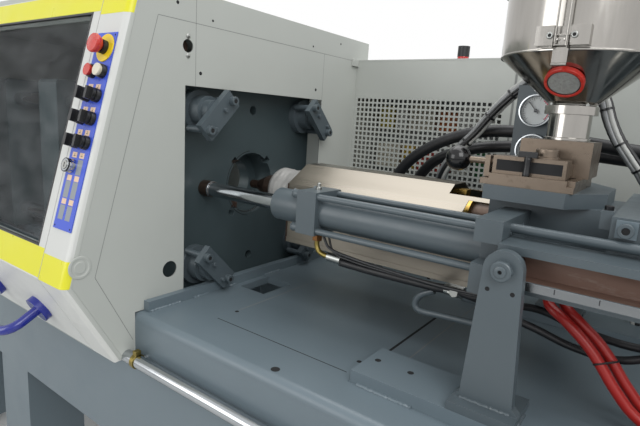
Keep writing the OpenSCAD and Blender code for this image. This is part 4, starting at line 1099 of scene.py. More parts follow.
@dataclass
class Door:
    """Sliding door with window, bands and handle."""

    x0: float = -1381.0
    x1: float = -483.0
    # Window: left, right, then top and bottom as distances down the slope.
    window: tuple[float, float, float, float] = (-1355.0, -511.0, -8.0, 523.0)
    gasket: float = 5.0
    # Outer edges of the yellow bands along local Y.
    bands: Pair = (60.0, -588.0)

    def build(self) -> None:
        """Dresses the door and adds its bands and window gasket."""
        dress(Paint.DOOR, "front_door")
        dress(Paint.GLASS, "door_window")
        dress(Paint.BLUE, "door_handle")
        wx0, wx1, s0, s1 = self.window
        trim = Shape().at(on_slope(0, 0)).use(Paint.YELLOW)
        upper, lower = self.bands
        trim.box((self.x0 + 0.5, -s0 + 0.4, -0.4), (self.x1 - 0.5, upper, 0.3))
        trim.box((self.x0 + 0.5, lower, -0.4), (self.x1 - 0.5, -s1 - 0.4, 0.3))
        trim.use(Paint.CABLE)
        low, high = -s1 + self.gasket, -s0 - self.gasket
        for x_from, x_to, y_from, y_to in (
            (wx0, wx1, -s1, low),
            (wx0, wx1, high, -s0),
            (wx0, wx0 + self.gasket, low, high),
            (wx1 - self.gasket, wx1, low, high),
        ):
            trim.box((x_from, y_from, -6), (x_to, y_to, 0.8))
        trim.build("door_trim", Body.DOOR, "light_paint", 0.5)


@dataclass
class ControlStrip:
    """Printed plate, push buttons, selectors and key switch on the guard strip."""

    # Print: X of its two columns, then distances down the slope of labels and fields.
    columns: Pair = (-448.0, -419.0)
    labels: tuple[float, ...] = (163.0, 213.0, 262.5, 312.0, 362.0, 413.0)
    fields: tuple[Pair, ...] = ((321.0, 354.0), (369.0, 405.0), (421.0, 452.0))
    # Button bezels and plate screws: their columns and rows in the same way.
    bezels: tuple[Pair, tuple[float, ...]] = ((-450, -413), (130, 182, 232, 284))
    screws: tuple[Pair, Pair] = ((-462, -400), (50, 467))
    # Emergency stop and key switch: X and distance down the slope.
    estop: Pair = (-426.0, 78.0)
    key: Pair = (-448.0, 337.0)

    def build(self) -> None:
        """Dresses the switches and adds the print, rings, bezels, stop cap and key slot."""
        dress(Paint.PANEL, "control_plate")
        dress(Paint.BLACK, "switch_collars", *[f"selector_knob_{i}" for i in range(1, 7)])
        dress(Paint.RED, "estop_button", "red_button")
        dress(Paint.PALE, "white_button")
        dress(Paint.STEEL, "key_core")
        self.prints()
        self.rings()
        cap = Shape().at(on_slope(*self.estop)).use(Paint.RED)
        rise = [(16, 19), (17.2, 19.2), (20.2, 27.8), (20.4, 29.6)]
        cap.lathe([*rise, (19.4, 32), (15, 33.2), (0.4, 33.6)], 48)
        cap.build("estop_cap", Body.ESTOP, "red_plastic")
        # The key slot is a near-black bar of painted shade.
        slot = Shape().at(on_slope(*self.key)).use(Paint.SHADE).box((-1.1, -5, 19), (1.1, 5, 19.8))
        slot.build("key_slot", Body.KEY, "chrome")

    def prints(self) -> None:
        """Adds the printed fields and marks of the plate."""
        prints = Shape().at(on_slope(0, 0)).use(Paint.PATCH)
        z0, z1 = PLATE_T - 0.2, PLATE_T + 0.15
        for s in self.labels:
            for x in self.columns:
                prints.box((x - 9, -s - 6, z0), (x + 9, -s + 6, z1))
        prints.use(Paint.MARK)
        for k, s in enumerate(self.labels[:4]):
            for x in self.columns:
                prints.box((x - 4, -s - 2.4, z1), (x + 1 + k, -s - 1.2, z1 + 0.1))
                prints.box((x - 0.6, -s - 1, z1), (x + 0.6, -s + 3.4, z1 + 0.1))
        prints.use(Paint.FIELD)
        for i, (a, b) in enumerate(self.fields):
            for k, x in enumerate(self.columns):
                if i or k:
                    prints.box((x - 10, -b, z0), (x + 10, -a, z1))
        prints.build("plate_print", Body.FRAME, "blue_plate")

    def rings(self) -> None:
        """Adds the disc of the stop button, the ring of the key switch, screws and bezels."""
        rings = Shape().at(on_slope(*self.estop)).use(Paint.DISC)
        top = PLATE_T + 2.3
        rings.lathe([(30.3, PLATE_T), (30.3, PLATE_T + 1.8), (29.8, top), (15.1, top)], 56)
        rings.at(on_slope(*self.key)).use(Paint.CHROME)
        rings.lathe([(15.3, PLATE_T), (15.3, 14), (14.6, 16), (13, 18.3), (9.4, 18.3), (9.35, 10)], 40)
        # The plate screws are drawn as near-black discs of painted shade, sunk into the plate.
        rings.use(Paint.SHADE)
        for x in self.screws[0]:
            for s in self.screws[1]:
                rings.at(on_slope(x, s)).disc(2.1, PLATE_T - 0.4, PLATE_T + 0.1, 16)
        rings.build("switch_rings", Body.FRAME, "black_plastic")
        caps = Shape().use(Paint.BLACK)
        profile = [(14.7, PLATE_T), (14.7, 10.4), (13.9, 12.2), (11.6, 12.2)]
        for x in self.bezels[0]:
            for s in self.bezels[1]:
                caps.at(on_slope(x, s)).lathe(profile, 40)
        caps.build("switch_bezels", Body.FRAME, "black_plastic")


@dataclass
class Cabinet:
    """Control cabinet with its punched front and the switchgear behind it."""

    # Locks on the doors.
    lock_x: Pair = (700.0, 1150.0)
    lock_z: Pair = (500.0, 1350.0)
    # Switchgear: left, bottom, width, height and colour.
    gear: tuple[tuple[float, float, float, float, str], ...] = (
        (-340, 1420, 60, 80, "#D9C33A"),
        (-270, 1420, 45, 80, "#E4E3DD"),
        (-210, 1420, 90, 90, "#DCD3BE"),
        (-100, 1420, 60, 75, "#D7722A"),
        (-30, 1420, 120, 85, "#E4E3DD"),
        (-340, 1280, 90, 90, "#E6DFCB"),
        (-235, 1280, 50, 85, "#D8B22E"),
        (-170, 1280, 110, 70, "#C5362C"),
        (-40, 1280, 60, 90, "#E4E3DD"),
        (40, 1280, 70, 80, "#2F7A46"),
    )

    def build(self) -> None:
        """Dresses the cabinet and adds gear faces, lamp lens, seams and locks."""
        dress(Paint.GUARD, "cabinet_shell", "cabinet_front")
        dress(Paint.GALVANISED, "electric_plate")
        dress(Paint.BLACK, "stack_light")
        parts = Shape()
        for i, (x, z, w, h, code) in enumerate(self.gear):
            parts.use(Finish(f"switchgear_{i}", code, rough=0.4, grain=1.0, grain_depth=0.01))
            parts.box((x - 0.4, 449.4, z - 0.4), (x + w + 0.4, 520, z + h + 0.4))
        parts.build("switchgear", Body.FRAME, "steel", 0.8)
        lamp = Shape().at(Matrix.Translation((-6, 352, 1649))).use(Paint.LENS)
        lamp.lathe([(17.2, 0.6), (17.4, 1), (17.4, 7), (17.2, 7.4)], 40)
        lamp.build("lamp_lens", Body.FRAME, "red_plastic")
        marks = Shape().use(Paint.SEAM_AND_SHADE)
        for x0, x1 in ((167, 173), (672, 675)):
            marks.box((x0, CABINET_Y - 0.2, 70), (x1, CABINET_Y + 0.4, 1645))
        marks.build("cabinet_seams", Body.FRAME, "guard_paint")
        locks = Shape().use(Paint.BLACK)
        for x in self.lock_x:
            for z in self.lock_z:
                locks.at(facing_front(x, CABINET_Y, z)).disc(11, 0, 4, 28)
        locks.build("cabinet_locks", Body.FRAME, "black_plastic", 0.5)


@dataclass
class Columns:
    """Support columns with their track rollers."""

    # Middle of each column along X, and height of the rollers.
    xs: Pair = (401.0, 1350.0)
    track_z: float = 1237.0
    weld_size: float = 3.5

    def build(self) -> None:
        """Dresses the columns and adds welds, nuts and grease holes."""
        dress(Paint.CASTING, "support_columns")
        nuts = Shape()
        for x in self.xs:
            for face, sign in ((-453.0, -1), (213.0, 1)):
                turn = Matrix.Rotation(math.pi / 2 * -sign, 4, "X")
                nuts.at(Matrix.Translation((x, face, self.track_z)) @ turn).use(Paint.CASTING)
                nuts.lathe([(16, 0), (14.2, 1.4), (9, 1.4), (9, 3.2), (8, 3.8), (3.2, 3.8), (3.1, 0.2)], 36)
                # The bore of each nut and the grease holes are near-black discs of painted shade.
                nuts.use(Paint.SHADE).disc(3.2, 0, 0.6, 16)
                for s in (-1, 1):
                    hole = Matrix.Translation((x + s * 19, face + 12 * -sign, self.track_z - 34))
                    nuts.at(hole @ turn).disc(3.6, -0.5, 0.15, 16)
        nuts.build("roller_nuts", Body.FRAME, "bed_paint")
        beads = Shape().use(Paint.CASTING)
        for i, x in enumerate(self.xs):
            for j, (y, inner) in enumerate(((-441, -401), (201, 161))):
                weld(beads, (x - 40, y, 1010), (x + 40, y, 1010), self.weld_size, 60 + 2 * i + j)
                for side in (x - 53, x + 53):
                    weld(beads, (side, y - 4, 997), (side, inner, 997), self.weld_size, 70 + i)
        beads.build("column_welds", Body.FRAME, "bed_paint")


@dataclass
class Carriage:
    """Carriage cylinders, slide beams, housings and their fittings."""

    # Front face of the front beam, and both ends of the beams.
    beam_y: float = -406.0
    beam_x: Pair = (380.0, 1640.0)
    # Slabs on each beam: finish, two distances behind its front face, bottom and top.
    slabs: tuple[tuple[Finish, float, float, float, float], ...] = (
        (Paint.RUST, 29.6, 30, 1218.4, 1255.6),
        (Paint.RUST, 1, 29.6, 1255.5, 1255.9),
        (Paint.RUST, 1, 29.6, 1218.1, 1218.5),
        (Paint.MILLED, -0.25, 0, 1203, 1217),
    )
    # Distance of each tie rod nut from the cylinder's axis, along Y and along Z.
    nut: float = 38.0
    # Pipes, hoses and wires at the cylinders.
    lines: tuple[Line, ...] = (
        # Elbow and its sleeve.
        Line(Paint.OLIVE, 6, 14, 6, (
            (-45, -306, 1174), (-45, -306, 1160), (-38, -307, 1148), (-22, -308, 1142), (-8, -308, 1141),
        )),
        Line(Paint.ZINC, 10, 20, 0, ((-10, -308, 1141), (26, -309, 1140))),
        # Hose to the branch, then the low and the high hose behind it.
        Line(Paint.RUBBER, 9, 16, 8, (
            (22, -306, 1135), (90, -307, 1134), (180, -307, 1135), (244, -306, 1136), (282, -306, 1139),
        )),
        Line(Paint.RUBBER, 7, 14, 6, (
            (296, -300, 1136), (330, -298, 1130), (380, -288, 1112), (430, -268, 1094),
            (490, -252, 1074), (560, -246, 1072), (615, -248, 1102), (640, -250, 1140),
            (644, -252, 1182),
        )),
        Line(Paint.RUBBER, 7, 14, 6, (
            (296, -312, 1140), (330, -310, 1138), (380, -290, 1134), (430, -236, 1120),
            (500, -222, 1098), (590, -222, 1094), (660, -226, 1118), (684, -230, 1150),
            (688, -232, 1182),
        )),
        # Body, collar and outlet of the branch.
        Line(Paint.ZINC, 12, 6, 0, ((274, -306, 1139), (302, -305, 1138))),
        Line(Paint.ZINC, 10.5, 20, 0, ((266, -306, 1138), (278, -306, 1139))),
        Line(Paint.ZINC, 9, 6, 0, ((288, -306, 1139), (288, -322, 1139))),
        # Bent pipe.
        Line(Paint.CASTING, 7, 16, 8, (
            (340, -290, 1080), (300, -290, 1078), (250, -290, 1075), (217, -290, 1073),
            (203, -290, 1078), (202, -290, 1092), (212, -290, 1107), (238, -290, 1122),
        )),
        # Thin wires.
        Line(Paint.CABLE, 3.2, 10, 8, (
            (-20, -318, 1188), (0, -322, 1166), (60, -328, 1158), (160, -330, 1152),
            (260, -328, 1148), (340, -326, 1150),
        )),
        Line(Paint.CABLE, 2.6, 10, 8, (
            (-14, -306, 1186), (6, -312, 1156), (60, -318, 1148), (150, -318, 1144),
            (300, -318, 1142), (340, -318, 1144),
        )),
    )

    def across(self, a: float, b: float, rear: bool) -> list[float]:
        """Gives the Y range of a slab on a beam.

        Args:
            a: distance of one side behind the front face of the front beam.
            b: the same distance of its other side.
            rear: whether it is on the rear beam, as a mirror image.

        Returns:
            Lowest and highest Y.
        """
        ys = (self.beam_y + a, self.beam_y + b)
        return sorted(2 * AXIS_Y - y if rear else y for y in ys)

    def beams(self) -> None:
        """Adds the rusty webs and machined faces of the slide beams."""
        shape = Shape()
        x0, x1 = self.beam_x
        for rear in (False, True):
            for finish, a, b, z0, z1 in self.slabs:
                y0, y1 = self.across(a, b, rear)
                shape.use(finish).box((x0 + 0.5, y0, z0), (x1 - 0.5, y1, z1))
            y0, y1 = self.across(-0.35, 0, rear)
            shape.use(Paint.MARK)
            for x in range(470, 951, 60):
                shape.box((x, y0, 1208), (x + 1.2, y1, 1216))
        shape.build("beam_faces", Body.CARRIAGE, "bed_paint")

    def fittings(self) -> None:
        """Adds the nuts, gland rings, bleed fitting, pipes, hoses and wires at the cylinders."""
        bits = Shape()
        flip = Matrix.Rotation(math.pi, 4, "X")
        for side in (-1, 1):
            y = AXIS_Y + side * ROD_OUT
            for a in (-self.nut, self.nut):
                for b in (-self.nut, self.nut):
                    hex_head(bits, along_x(-92, y + a, AXIS_Z + b) @ flip, 22, 3, Paint.CASTING)
                    hex_head(bits, along_x(379, y + a, AXIS_Z + b), 20, 0.6, Paint.CASTING)
            bits.at(along_x(-165.2, y, AXIS_Z)).use(Paint.RUBBER)
            bits.lathe([(19.4, -1.5), (24, -1.5), (25, 0), (19.4, 0)], 40)
        bits.at(Matrix.Translation((-55, -298, 1286))).use(Paint.ZINC)
        bits.lathe([(7, 0), (7, 6), (4.5, 7), (4.5, 14), (3, 16), (0.3, 16)], 20)
        bits.build("cylinder_nuts", Body.CARRIAGE, "bed_paint", 0.4)
        pipes = Shape().use(Paint.COPPER)
        pipes.at(Matrix.Translation((-45, -306, 1172))).disc(12, 0, 18, 6)
        pipes.at(HOME)
        for line in self.lines:
            line.draw(pipes)
        pipes.build("cylinder_lines", Body.CARRIAGE, "bed_paint")

    def housing(self) -> None:
        """Adds the bracket, the small block and the screws of the housings."""
        bits = Shape().use(Paint.BED)
        bits.box((527.5, -331, 1295.5), (556.5, -323.5, 1322.6))
        socket_screw(bits, facing_front(542, -342, 1309), 11.3, 1.2, Paint.CASTING)
        bits.at(HOME).use(Paint.CASTING).box((502, -300, 1300), (520, -266, 1330))
        socket_screw(bits, Matrix.Translation((511, -284, 1330)), 7, 7, Paint.BLACKED)
        for x in range(600, 1600, 120):
            for y in (-312, 72):
                socket_screw(bits, Matrix.Translation((x, y, 1326)), 7, 6, Paint.BLACKED)
        bits.build("housing_bits", Body.CARRIAGE, "bed_paint", 0.6)

    def build(self) -> None:
        """Builds the carriage dressing."""
        dress(Paint.CASTING, "carriage_cylinders", "slide_beams", "feed_housing", "injection_housing")
        dress(Paint.CASTING, "crosshead")
        dress(Paint.STEEL, "screw")
        self.beams()
        self.fittings()
        self.housing()


@dataclass
class Barrel:
    """Barrel with nozzle, heaters and stainless cover."""

    wrap_x: Pair = (-323.0, -213.0)
    wrap_r: float = 59.5
    # Front face of the stainless cover.
    cover_y: float = -225.0
    rings: int = 27
    sides: int = 56

    def wrap(self) -> None:
        """Adds the wrinkled glass cloth over the barrel head."""
        rand = random.Random(7)
        lumps = []
        for _ in range(self.rings):
            lumps.append((rand.uniform(0, 6.28), rand.randint(2, 7), rand.uniform(0.5, 2.2)))
        rows: list[Point] = []
        for i, (phase, waves, depth) in enumerate(lumps):
            share = i / (self.rings - 1)
            base = self.wrap_r + 1.8 * math.sin(9 * share) - (8 * (1 - share * 9) if share < 0.11 else 0)
            z = (self.wrap_x[1] - self.wrap_x[0]) * share
            for k in range(self.sides):
                a = 2 * math.pi * k / self.sides
                r = base + depth * math.sin(waves * a + phase) * 0.7 + rand.uniform(-0.35, 0.35)
                rows.append((r * math.cos(a), r * math.sin(a), z))
        faces = grid(self.rings, self.sides)
        faces.append(list(range(self.sides)))
        shape = Shape().at(along_x(self.wrap_x[0], AXIS_Y, AXIS_Z)).use(Paint.WRAP)
        shape.add(rows, faces)
        shape.build("barrel_wrap", Body.CARRIAGE, "brass", angle=75)

    def build(self) -> None:
        """Dresses the barrel and adds the wrap, cover edges and cover screws."""
        dress(Paint.TEMPER, "barrel", "nozzle")
        dress(Paint.BRASS, "heater_bands")
        dress(Paint.SHEET, "barrel_cover")
        self.wrap()
        edge = Shape().use(Paint.TEMPER)
        y = self.cover_y
        edge.box((-206, y - 1.6, 1124), (-202, y, 1276))
        edge.use(Paint.SHEET).box((-206, y - 1.5, 1124), (300, y + 0.1, 1136))
        edge.build("cover_edges", Body.CARRIAGE, "stainless", 0.3)
        screws = Shape()
        for x in (-180, -20, 140, 285):
            screws.at(facing_front(x, y - 0.4, 1262)).use(Paint.ZINC)
            screws.lathe([(4.6, 0), (4.3, 1.4), (2.6, 2.6), (0.3, 3)], 20)
        screws.build("cover_screws", Body.CARRIAGE, "stainless")


@dataclass
class Hopper:
    """Hopper with seat, shut-off slide, sight glass, latch and lid."""

    # Cone: radius of the neck, its lower and upper ends, and the height of the sight glass.
    neck_r: float = 39.0
    cone_z: Pair = (1497.0, 1583.0)
    eye_z: float = 1538.0
    # Heights of the bracket bolts, the lever's rivets and its lip.
    bolt_z: float = 1604.0
    rivet_z: float = 1598.0
    lip_z: float = 1558.0
    # Radius of the ball on the slide, and X and Y of the clamp's grip.
    ball_r: float = 25.2
    clamp: Pair = (370.0, -253.0)

    def build(self) -> None:
        """Dresses the hopper and adds its sight glass, welds, latch and seat details."""
        dress(Paint.POLISHED, "hopper_body", "hopper_lid", "latch_lever", "latch_bail")
        dress(Paint.RED, "sight_glass")
        dress(Paint.SEAT, "gate_block", "gate_slide")
        dress(Paint.BLACK, "clamp_handle")
        self.eye()
        self.welds()
        self.latch()
        self.seat()

    def eye(self) -> None:
        """Adds the sight glass on the cone, with granules behind its pane."""
        low, high = self.cone_z
        tilt = math.atan((HOPPER_R - self.neck_r) / (high - low))
        out = self.neck_r + (self.eye_z - low) * math.tan(tilt)
        spot = at_latch() @ Matrix.Translation((out, 0, self.eye_z))
        spot = spot @ Matrix.Rotation(math.pi / 2 + tilt, 4, "Y")
        eye = Shape().at(spot).use(Paint.GRANULES).disc(27.6, 6.8, 8.0, 40)
        eye.use(Paint.RED)
        eye.lathe([(33.3, 0.4), (33.3, 7.8), (32, 9.4), (29.6, 9.6), (28.6, 8.8), (28.5, 7.4)], 60)
        eye.use(Paint.MARK).lathe([(28.5, 8.2), (26.0, 8.2), (26.0, 7.6)], 48)
        eye.use(Paint.SIGHT).disc(28.4, 8.5, 8.8, 40)
        eye.build("sight_pane", Body.CARRIAGE, "red_plastic")

    def welds(self) -> None:
        """Adds the welded rims of the hopper and the nuts on its flange."""
        seams = Shape().at(Matrix.Translation((HOPPER_X, AXIS_Y, 0))).use(Paint.POLISHED)
        seams.lathe([(139.9, 1581), (141.3, 1582.4), (141.3, 1584.6), (140, 1586)], 72)
        seams.lathe([(39.5, 1497), (42.5, 1498.5), (42.8, 1500.6)], 60)
        seams.lathe([(38.2, 1433), (41, 1433), (41, 1437), (38.2, 1438)], 48)
        for k in range(4):
            a = math.radians(45 + 90 * k)
            x, y = HOPPER_X + 43.4 * math.cos(a), AXIS_Y + 43.4 * math.sin(a)
            hex_head(seams, Matrix.Translation((x, y, self.cone_z[0])), 7, 4)
        seams.build("hopper_welds", Body.CARRIAGE, "stainless")

    def latch(self) -> None:
        """Adds the bolts of the latch bracket, and the lip and rivets of the lever."""
        bolts = Shape()
        for side in (-19, 19):
            socket_screw(bolts, at_latch() @ along_x(HOPPER_R + 12, side, self.bolt_z), 5.5, 3)
        bolts.build("latch_bolts", Body.CARRIAGE, "stainless")
        lip = Shape().at(at_latch()).use(Paint.POLISHED)
        lip.tube([(HOPPER_R + 9.2, y, self.lip_z) for y in (-12, 12)], 2.6, 14)
        for y in (-5.5, 5.5):
            lip.at(at_latch() @ along_x(HOPPER_R + 9, y, self.rivet_z))
            lip.lathe([(3.2, 0), (2.8, 1.2), (0.3, 1.8)], 18)
        lip.build("lever_lip", Body.LEVER, "chrome")

    def seat(self) -> None:
        """Adds the clamp grip, the ball of the slide and the details of the seat block."""
        x, y = self.clamp
        grip = Shape().use(Paint.BLACK)
        grip.box((x - 16.2, y - 5.2, 1399.1), (x + 16.2, y + 5.2, 1409.5))
        grip.at(Matrix.Translation((x, y, 0)))
        foot = [(0.3, 1365.6), (6.5, 1365.6), (6.5, 1372)]
        grip.lathe([*foot, (6.1, 1374), (6.1, 1388), (6.5, 1397), (5.0, 1399.4)], 32)
        grip.build("clamp_grip", Body.TEE, "steel", 1.2)
        ball = Shape().at(Matrix.Translation((232, -225, 1384))).use(Paint.BALL)
        r = self.ball_r
        turns = [math.pi * k / 16 for k in range(17)]
        ball.lathe([(r * math.sin(a) + 0.01, -r * math.cos(a)) for a in turns], 40)
        ball.build("slide_ball", Body.SHUTTER, "steel")
        # The near-black strip on the seat block's face is painted shade.
        seat = Shape().use(Paint.SHADE)
        seat.box((314, -246.3, 1371), (428, -245.8, 1391))
        seat.at(Matrix.Translation((394, -222, 1398))).use(Paint.SEAT)
        seat.lathe([(22.5, 0), (22.5, 3), (19.4, 4.5), (19.4, 15.6), (18, 17.4), (9, 17.4), (8.4, 10)], 44)
        seat.build("seat_details", Body.CARRIAGE, "steel")


@dataclass
class Gauges:
    """Two pressure gauges on their plate."""

    # Middles of the dials: their plane, then X and Z of each.
    dial_y: float = 40.0
    places: tuple[Pair, Pair] = ((303.0, 1492.0), (306.0, 1402.0))
    # Scale: number of marks, first angle and step in degrees.
    marks: int = 28
    first: float = -45.0
    step: float = 10.0

    def build(self) -> None:
        """Dresses the gauge panel and adds dials, scales, glasses and pointer hubs."""
        dress(Paint.CASTING, "gauge_panel")
        dress(Paint.BLACK, "needle_upper", "needle_lower")
        dials = Shape()
        for x, z in self.places:
            spot = facing_front(x, self.dial_y, z)
            dials.at(spot).use(Paint.CHROME)
            dials.lathe([(37.4, -22), (37.4, 6), (36.4, 8.4), (33.6, 8.6), (32, 6), (31.9, -3.4)], 56)
            dials.use(Paint.DIAL).disc(31.9, -3.9, -3.2, 48)
            arc = [(25.5, -3.15), (25.5, -3.0), (28.5, -3.0), (28.5, -3.15)]
            dials.use(Paint.ARC).lathe(arc, 30, -45, 60)
            dials.use(Paint.MARK)
            for k in range(self.marks):
                a = math.radians(self.first + self.step * k)
                long = 6.5 if k % 3 == 0 else 3.5
                turn = spot @ Matrix.Rotation(a, 4, "Z")
                dials.at(turn).box((30 - long, -0.35, -3.1), (30, 0.35, -2.9))
            dials.at(spot).use(Paint.SIGHT).disc(32, 5.4, 5.9, 48)
        dials.build("gauge_dials", Body.CARRIAGE, "guard_paint")
        for body, (x, z) in zip((Body.UPPER, Body.LOWER), self.places):
            hub = Shape().at(facing_front(x, self.dial_y, z)).use(Paint.BLACK)
            hub.lathe([(4.2, 1), (4.2, 3.6), (3.2, 4.2), (0.2, 4.4)], 20)
            hub.build(f"hub_{body.value}", body, "black_plastic")


@dataclass
class Hoses:
    """Hydraulic hoses, water hoses and the cable bundle."""

    # Two black hoses, then two red ones.
    hoses: tuple[Line, ...] = (
        Line(Paint.RUBBER, 16, 20, 8, (
            (-160, 200, 970), (-155, 195, 1120), (-125, 175, 1240), (-60, 160, 1335), (40, 150, 1400),
            (150, 148, 1435), (270, 148, 1440), (400, 148, 1425), (540, 146, 1410), (660, 138, 1395),
            (725, 128, 1365), (740, 125, 1326),
        )),
        Line(Paint.RUBBER, 16, 20, 8, (
            (-100, 240, 970), (-98, 238, 1120), (-75, 230, 1240), (-20, 218, 1325), (60, 208, 1370),
            (170, 200, 1396), (300, 194, 1402), (440, 190, 1395), (600, 186, 1385), (740, 162, 1378),
            (795, 137, 1358), (810, 125, 1326),
        )),
        Line(Paint.RED_HOSE, 9, 16, 8, (
            (440, -215.3, 1165), (440, -255, 1165), (448, -288, 1152), (478, -302, 1136), (513, -302, 1107),
            (538, -302, 1079), (564, -302, 1045), (596, -300, 1011), (640, -296, 988), (690, -290, 984),
            (714, -288, 979), (722, -288, 970),
        )),
        Line(Paint.RED_HOSE, 9, 16, 8, (
            (462, -215.3, 1165), (463, -248, 1164), (472, -274, 1151), (497, -282, 1134), (529, -280, 1107),
            (554, -280, 1079), (580, -280, 1045), (612, -278, 1011), (655, -274, 988), (706, -268, 984),
            (734, -265, 979), (742, -265, 970),
        )),
    )
    # Radius of the sleeves at the ends of each hose, and their length in radii.
    sleeves: tuple[float, ...] = (18.0, 18.0, 10.5, 10.5)
    sleeve_length: float = 2.6
    # Cable bundle: distance of the strands from its middle, their radius and their twist in
    # radians per point, radius of the ties, and the centre line.
    strand_out: float = 9.2
    strand_r: float = 5.4
    twist: float = 0.02
    tie_r: float = 15.2
    arch: tuple[Point, ...] = (
        (20, 230, 970), (22, 225, 1100), (36, 180, 1230), (64, 118, 1315), (113, 102, 1389),
        (150, 100, 1432), (179, 100, 1473), (206, 100, 1507), (240, 100, 1542), (290, 100, 1578),
        (340, 100, 1590), (390, 100, 1575), (425, 100, 1535), (450, 100, 1476), (472, 100, 1436),
        (500, 104, 1399), (522, 108, 1372), (540, 125, 1345), (556, 160, 1330), (566, 192, 1295),
        (568, 205, 1150), (568, 210, 995),
    )

    def strands(self) -> None:
        """Builds the cable bundle from strands that lie round each other, with ties."""
        path = [Vector(p) for p in curve(list(self.arch), 8)]
        count = len(path)
        bundle = Shape()
        finishes = (Paint.BRAID, Paint.CABLE, Paint.PALE_CABLE) * 2
        for k, finish in enumerate(finishes):
            line: list[Point] = []
            for i, p in enumerate(path):
                d = (path[min(i + 1, count - 1)] - path[max(i - 1, 0)]).normalized()
                u = Vector((0, 1, 0)).cross(d).normalized()
                v = d.cross(u)
                a = 2 * math.pi * k / len(finishes) + i * self.twist
                line.append(tuple(p + (u * math.cos(a) + v * math.sin(a)) * self.strand_out))
            bundle.use(finish).tube(line, self.strand_r, 12, 0.2, 3)
        bundle.use(Paint.BLACK)
        for i in range(9, count - 8, 13):
            step = (path[i + 1] - path[i]).normalized() * 5
            bundle.tube([tuple(path[i]), tuple(path[i] + step)], self.tie_r, 24)
        thing = bundle.build("cable_set", Body.FRAME, "grey_sheath")
        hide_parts("cable_bundles")

    def tie(self, shape: Shape) -> None:
        """Adds the tie that holds the two red hoses together.

        Args:
            shape: shape it goes in.
        """
        first, second = (hose.route for hose in self.hoses[2:])
        a, b = Vector(first[5]), Vector(second[5])
        middle, reach = (a + b) / 2, (b - a) / 2
        along = (Vector(first[6]) - a).normalized()
        other = reach.normalized().cross(along) * 11
        wide = reach + reach.normalized() * 10.5
        turns = [2 * math.pi * k / 24 for k in range(25)]
        loop = [tuple(middle + wide * math.cos(q) + other * math.sin(q)) for q in turns]
        shape.use(Paint.BLACK).tube(loop, 1.8, 8)

    def build(self) -> None:
        """Builds the hoses and the bundle with its ties."""
        shape = Shape()
        for hose in self.hoses:
            hose.draw(shape)
        shape.use(Paint.ZINC)
        for hose, r in zip(self.hoses, self.sleeves):
            line = hose.route
            for end, toward in ((line[0], line[1]), (line[-1], line[-2])):
                a = Vector(end)
                b = a + (Vector(toward) - a).normalized() * self.sleeve_length * r
                shape.tube([tuple(a), tuple(b)], r, 20)
        self.tie(shape)
        thing = shape.build("hose_set", Body.FRAME, "black_rubber")
        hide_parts("hydraulic_hoses")
        self.strands()


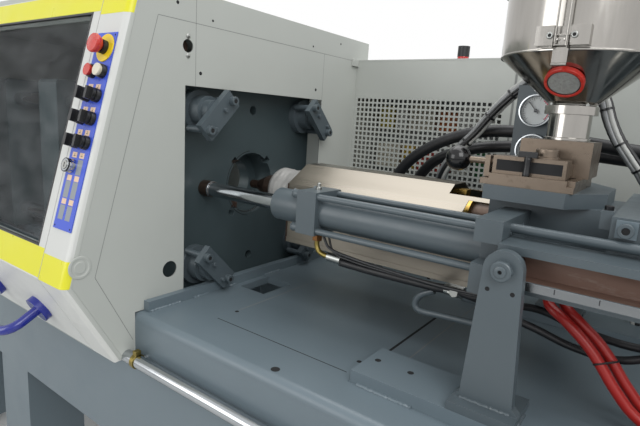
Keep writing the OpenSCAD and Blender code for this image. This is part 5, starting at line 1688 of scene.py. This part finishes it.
@dataclass
class Studio:
    """Camera, lights, floor and background."""

    # Camera fitted to the photograph, in millimetres and degrees.
    eye: Point = (590.0, -1186.0, 1448.0)
    azimuth: float = 35.69
    pitch: float = 11.11
    roll: float = -3.66
    focal_px: float = 491.0
    width_px: float = 640.0
    # Sensor width of the camera in millimetres.
    sensor: float = 36.0
    # Half the width of the floor in metres.
    reach: float = 14.0
    # Soft lights: name, place, aim and size in metres, power in watts.
    lights: tuple[tuple[str, Point, Point, Pair, float], ...] = (
        ("key", (3.0, -3.2, 4.2), (0.0, -0.1, 1.1), (3.0, 3.0), 120),
        ("overhead", (0.2, 0.3, 4.4), (0.1, 0.0, 1.0), (5.0, 2.5), 90),
        ("fill", (-2.4, -4.2, 2.2), (-0.3, 0.0, 1.1), (2.5, 2.5), 50),
    )

    def camera(self) -> None:
        """Places the camera."""
        azimuth, pitch, roll = (math.radians(v) for v in (self.azimuth, self.pitch, self.roll))
        level = math.cos(pitch)
        forward = Vector((-math.sin(azimuth) * level, math.cos(azimuth) * level, -math.sin(pitch)))
        right = Vector((math.cos(azimuth), math.sin(azimuth), 0))
        down = forward.cross(right)
        rolled_right = right * math.cos(roll) + down * math.sin(roll)
        rolled_down = -right * math.sin(roll) + down * math.cos(roll)
        data = bpy.data.cameras.new("photo_camera")
        data.sensor_width = self.sensor
        data.lens = self.sensor * self.focal_px / self.width_px
        data.clip_start = 0.05
        cam = bpy.data.objects.new("photo_camera", data)
        turn = Matrix((rolled_right, -rolled_down, -forward)).transposed().to_4x4()
        cam.matrix_world = Matrix.Translation(Vector(self.eye) * MM) @ turn
        bpy.context.scene.collection.objects.link(cam)
        bpy.context.scene.camera = cam

    def world(self) -> None:
        """Sets a world that is white to the camera, in mirrors and through glass, softer as light."""
        world = bpy.data.worlds.new("studio")
        bpy.context.scene.world = world
        world.use_nodes = True
        tree = world.node_tree
        tree.nodes.clear()
        link = tree.links.new
        path = add_node(tree, "ShaderNodeLightPath")
        first = add_node(tree, "ShaderNodeMath", operation="MAXIMUM")
        second = add_node(tree, "ShaderNodeMath", operation="MAXIMUM")
        link(path.outputs["Is Camera Ray"], first.inputs[0])
        link(path.outputs["Is Glossy Ray"], first.inputs[1])
        link(first.outputs["Value"], second.inputs[0])
        link(path.outputs["Is Transmission Ray"], second.inputs[1])
        white = add_node(tree, "ShaderNodeBackground", Strength=1.0)
        white.inputs["Color"].default_value = (1.0, 1.0, 1.0, 1.0)
        soft = add_node(tree, "ShaderNodeBackground", Strength=0.42)
        soft.inputs["Color"].default_value = (0.93, 0.96, 1.0, 1.0)
        mix = add_node(tree, "ShaderNodeMixShader")
        out = add_node(tree, "ShaderNodeOutputWorld")
        link(second.outputs["Value"], mix.inputs["Fac"])
        link(soft.outputs["Background"], mix.inputs[1])
        link(white.outputs["Background"], mix.inputs[2])
        link(mix.outputs["Shader"], out.inputs["Surface"])

    def light(self, name: str, place: Point, aim: Point, size: Pair, power: float) -> None:
        """Adds one soft area light.

        Args:
            name: its name.
            place: where it is, in metres.
            aim: what it looks at, in metres.
            size: its width and height in metres.
            power: its power in watts.
        """
        data = bpy.data.lights.new(name, "AREA")
        data.shape = "RECTANGLE"
        data.size, data.size_y = size
        data.energy = power
        lamp = bpy.data.objects.new(name, data)
        lamp.location = place
        lamp.rotation_euler = (Vector(aim) - Vector(place)).to_track_quat("-Z", "Y").to_euler()
        bpy.context.scene.collection.objects.link(lamp)

    def floor(self) -> None:
        """Adds the plain pale floor."""
        mesh = bpy.data.meshes.new("floor")
        r = self.reach
        mesh.from_pydata([(-r, -r, 0), (r, -r, 0), (r, r, 0), (-r, r, 0)], [], [[0, 1, 2, 3]])
        paint = Finish("pale_floor", "#E9E9E7", rough=0.7, grain=4.0, grain_depth=0.02, edge=0)
        mesh.materials.append(paint.material())
        ground = bpy.data.objects.new("floor", mesh)
        bpy.context.scene.collection.objects.link(ground)

    def build(self) -> None:
        """Builds the studio."""
        bpy.context.scene.view_settings.view_transform = "Standard"
        self.camera()
        self.world()
        self.floor()
        for lamp in self.lights:
            self.light(*lamp)


def main() -> None:
    """Builds the studio and every sub-assembly."""
    logging.basicConfig(level=logging.INFO, format="%(message)s")
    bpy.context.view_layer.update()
    Studio().build()
    kinds = (
        Hoses, Bed, Platens, Guard, Door, ControlStrip, Cabinet, Columns, Carriage, Barrel, Hopper, Gauges,
    )
    for kind in kinds:
        LOG.info("building %s", kind.__name__)
        kind().build()


if __name__ == "__main__":
    main()
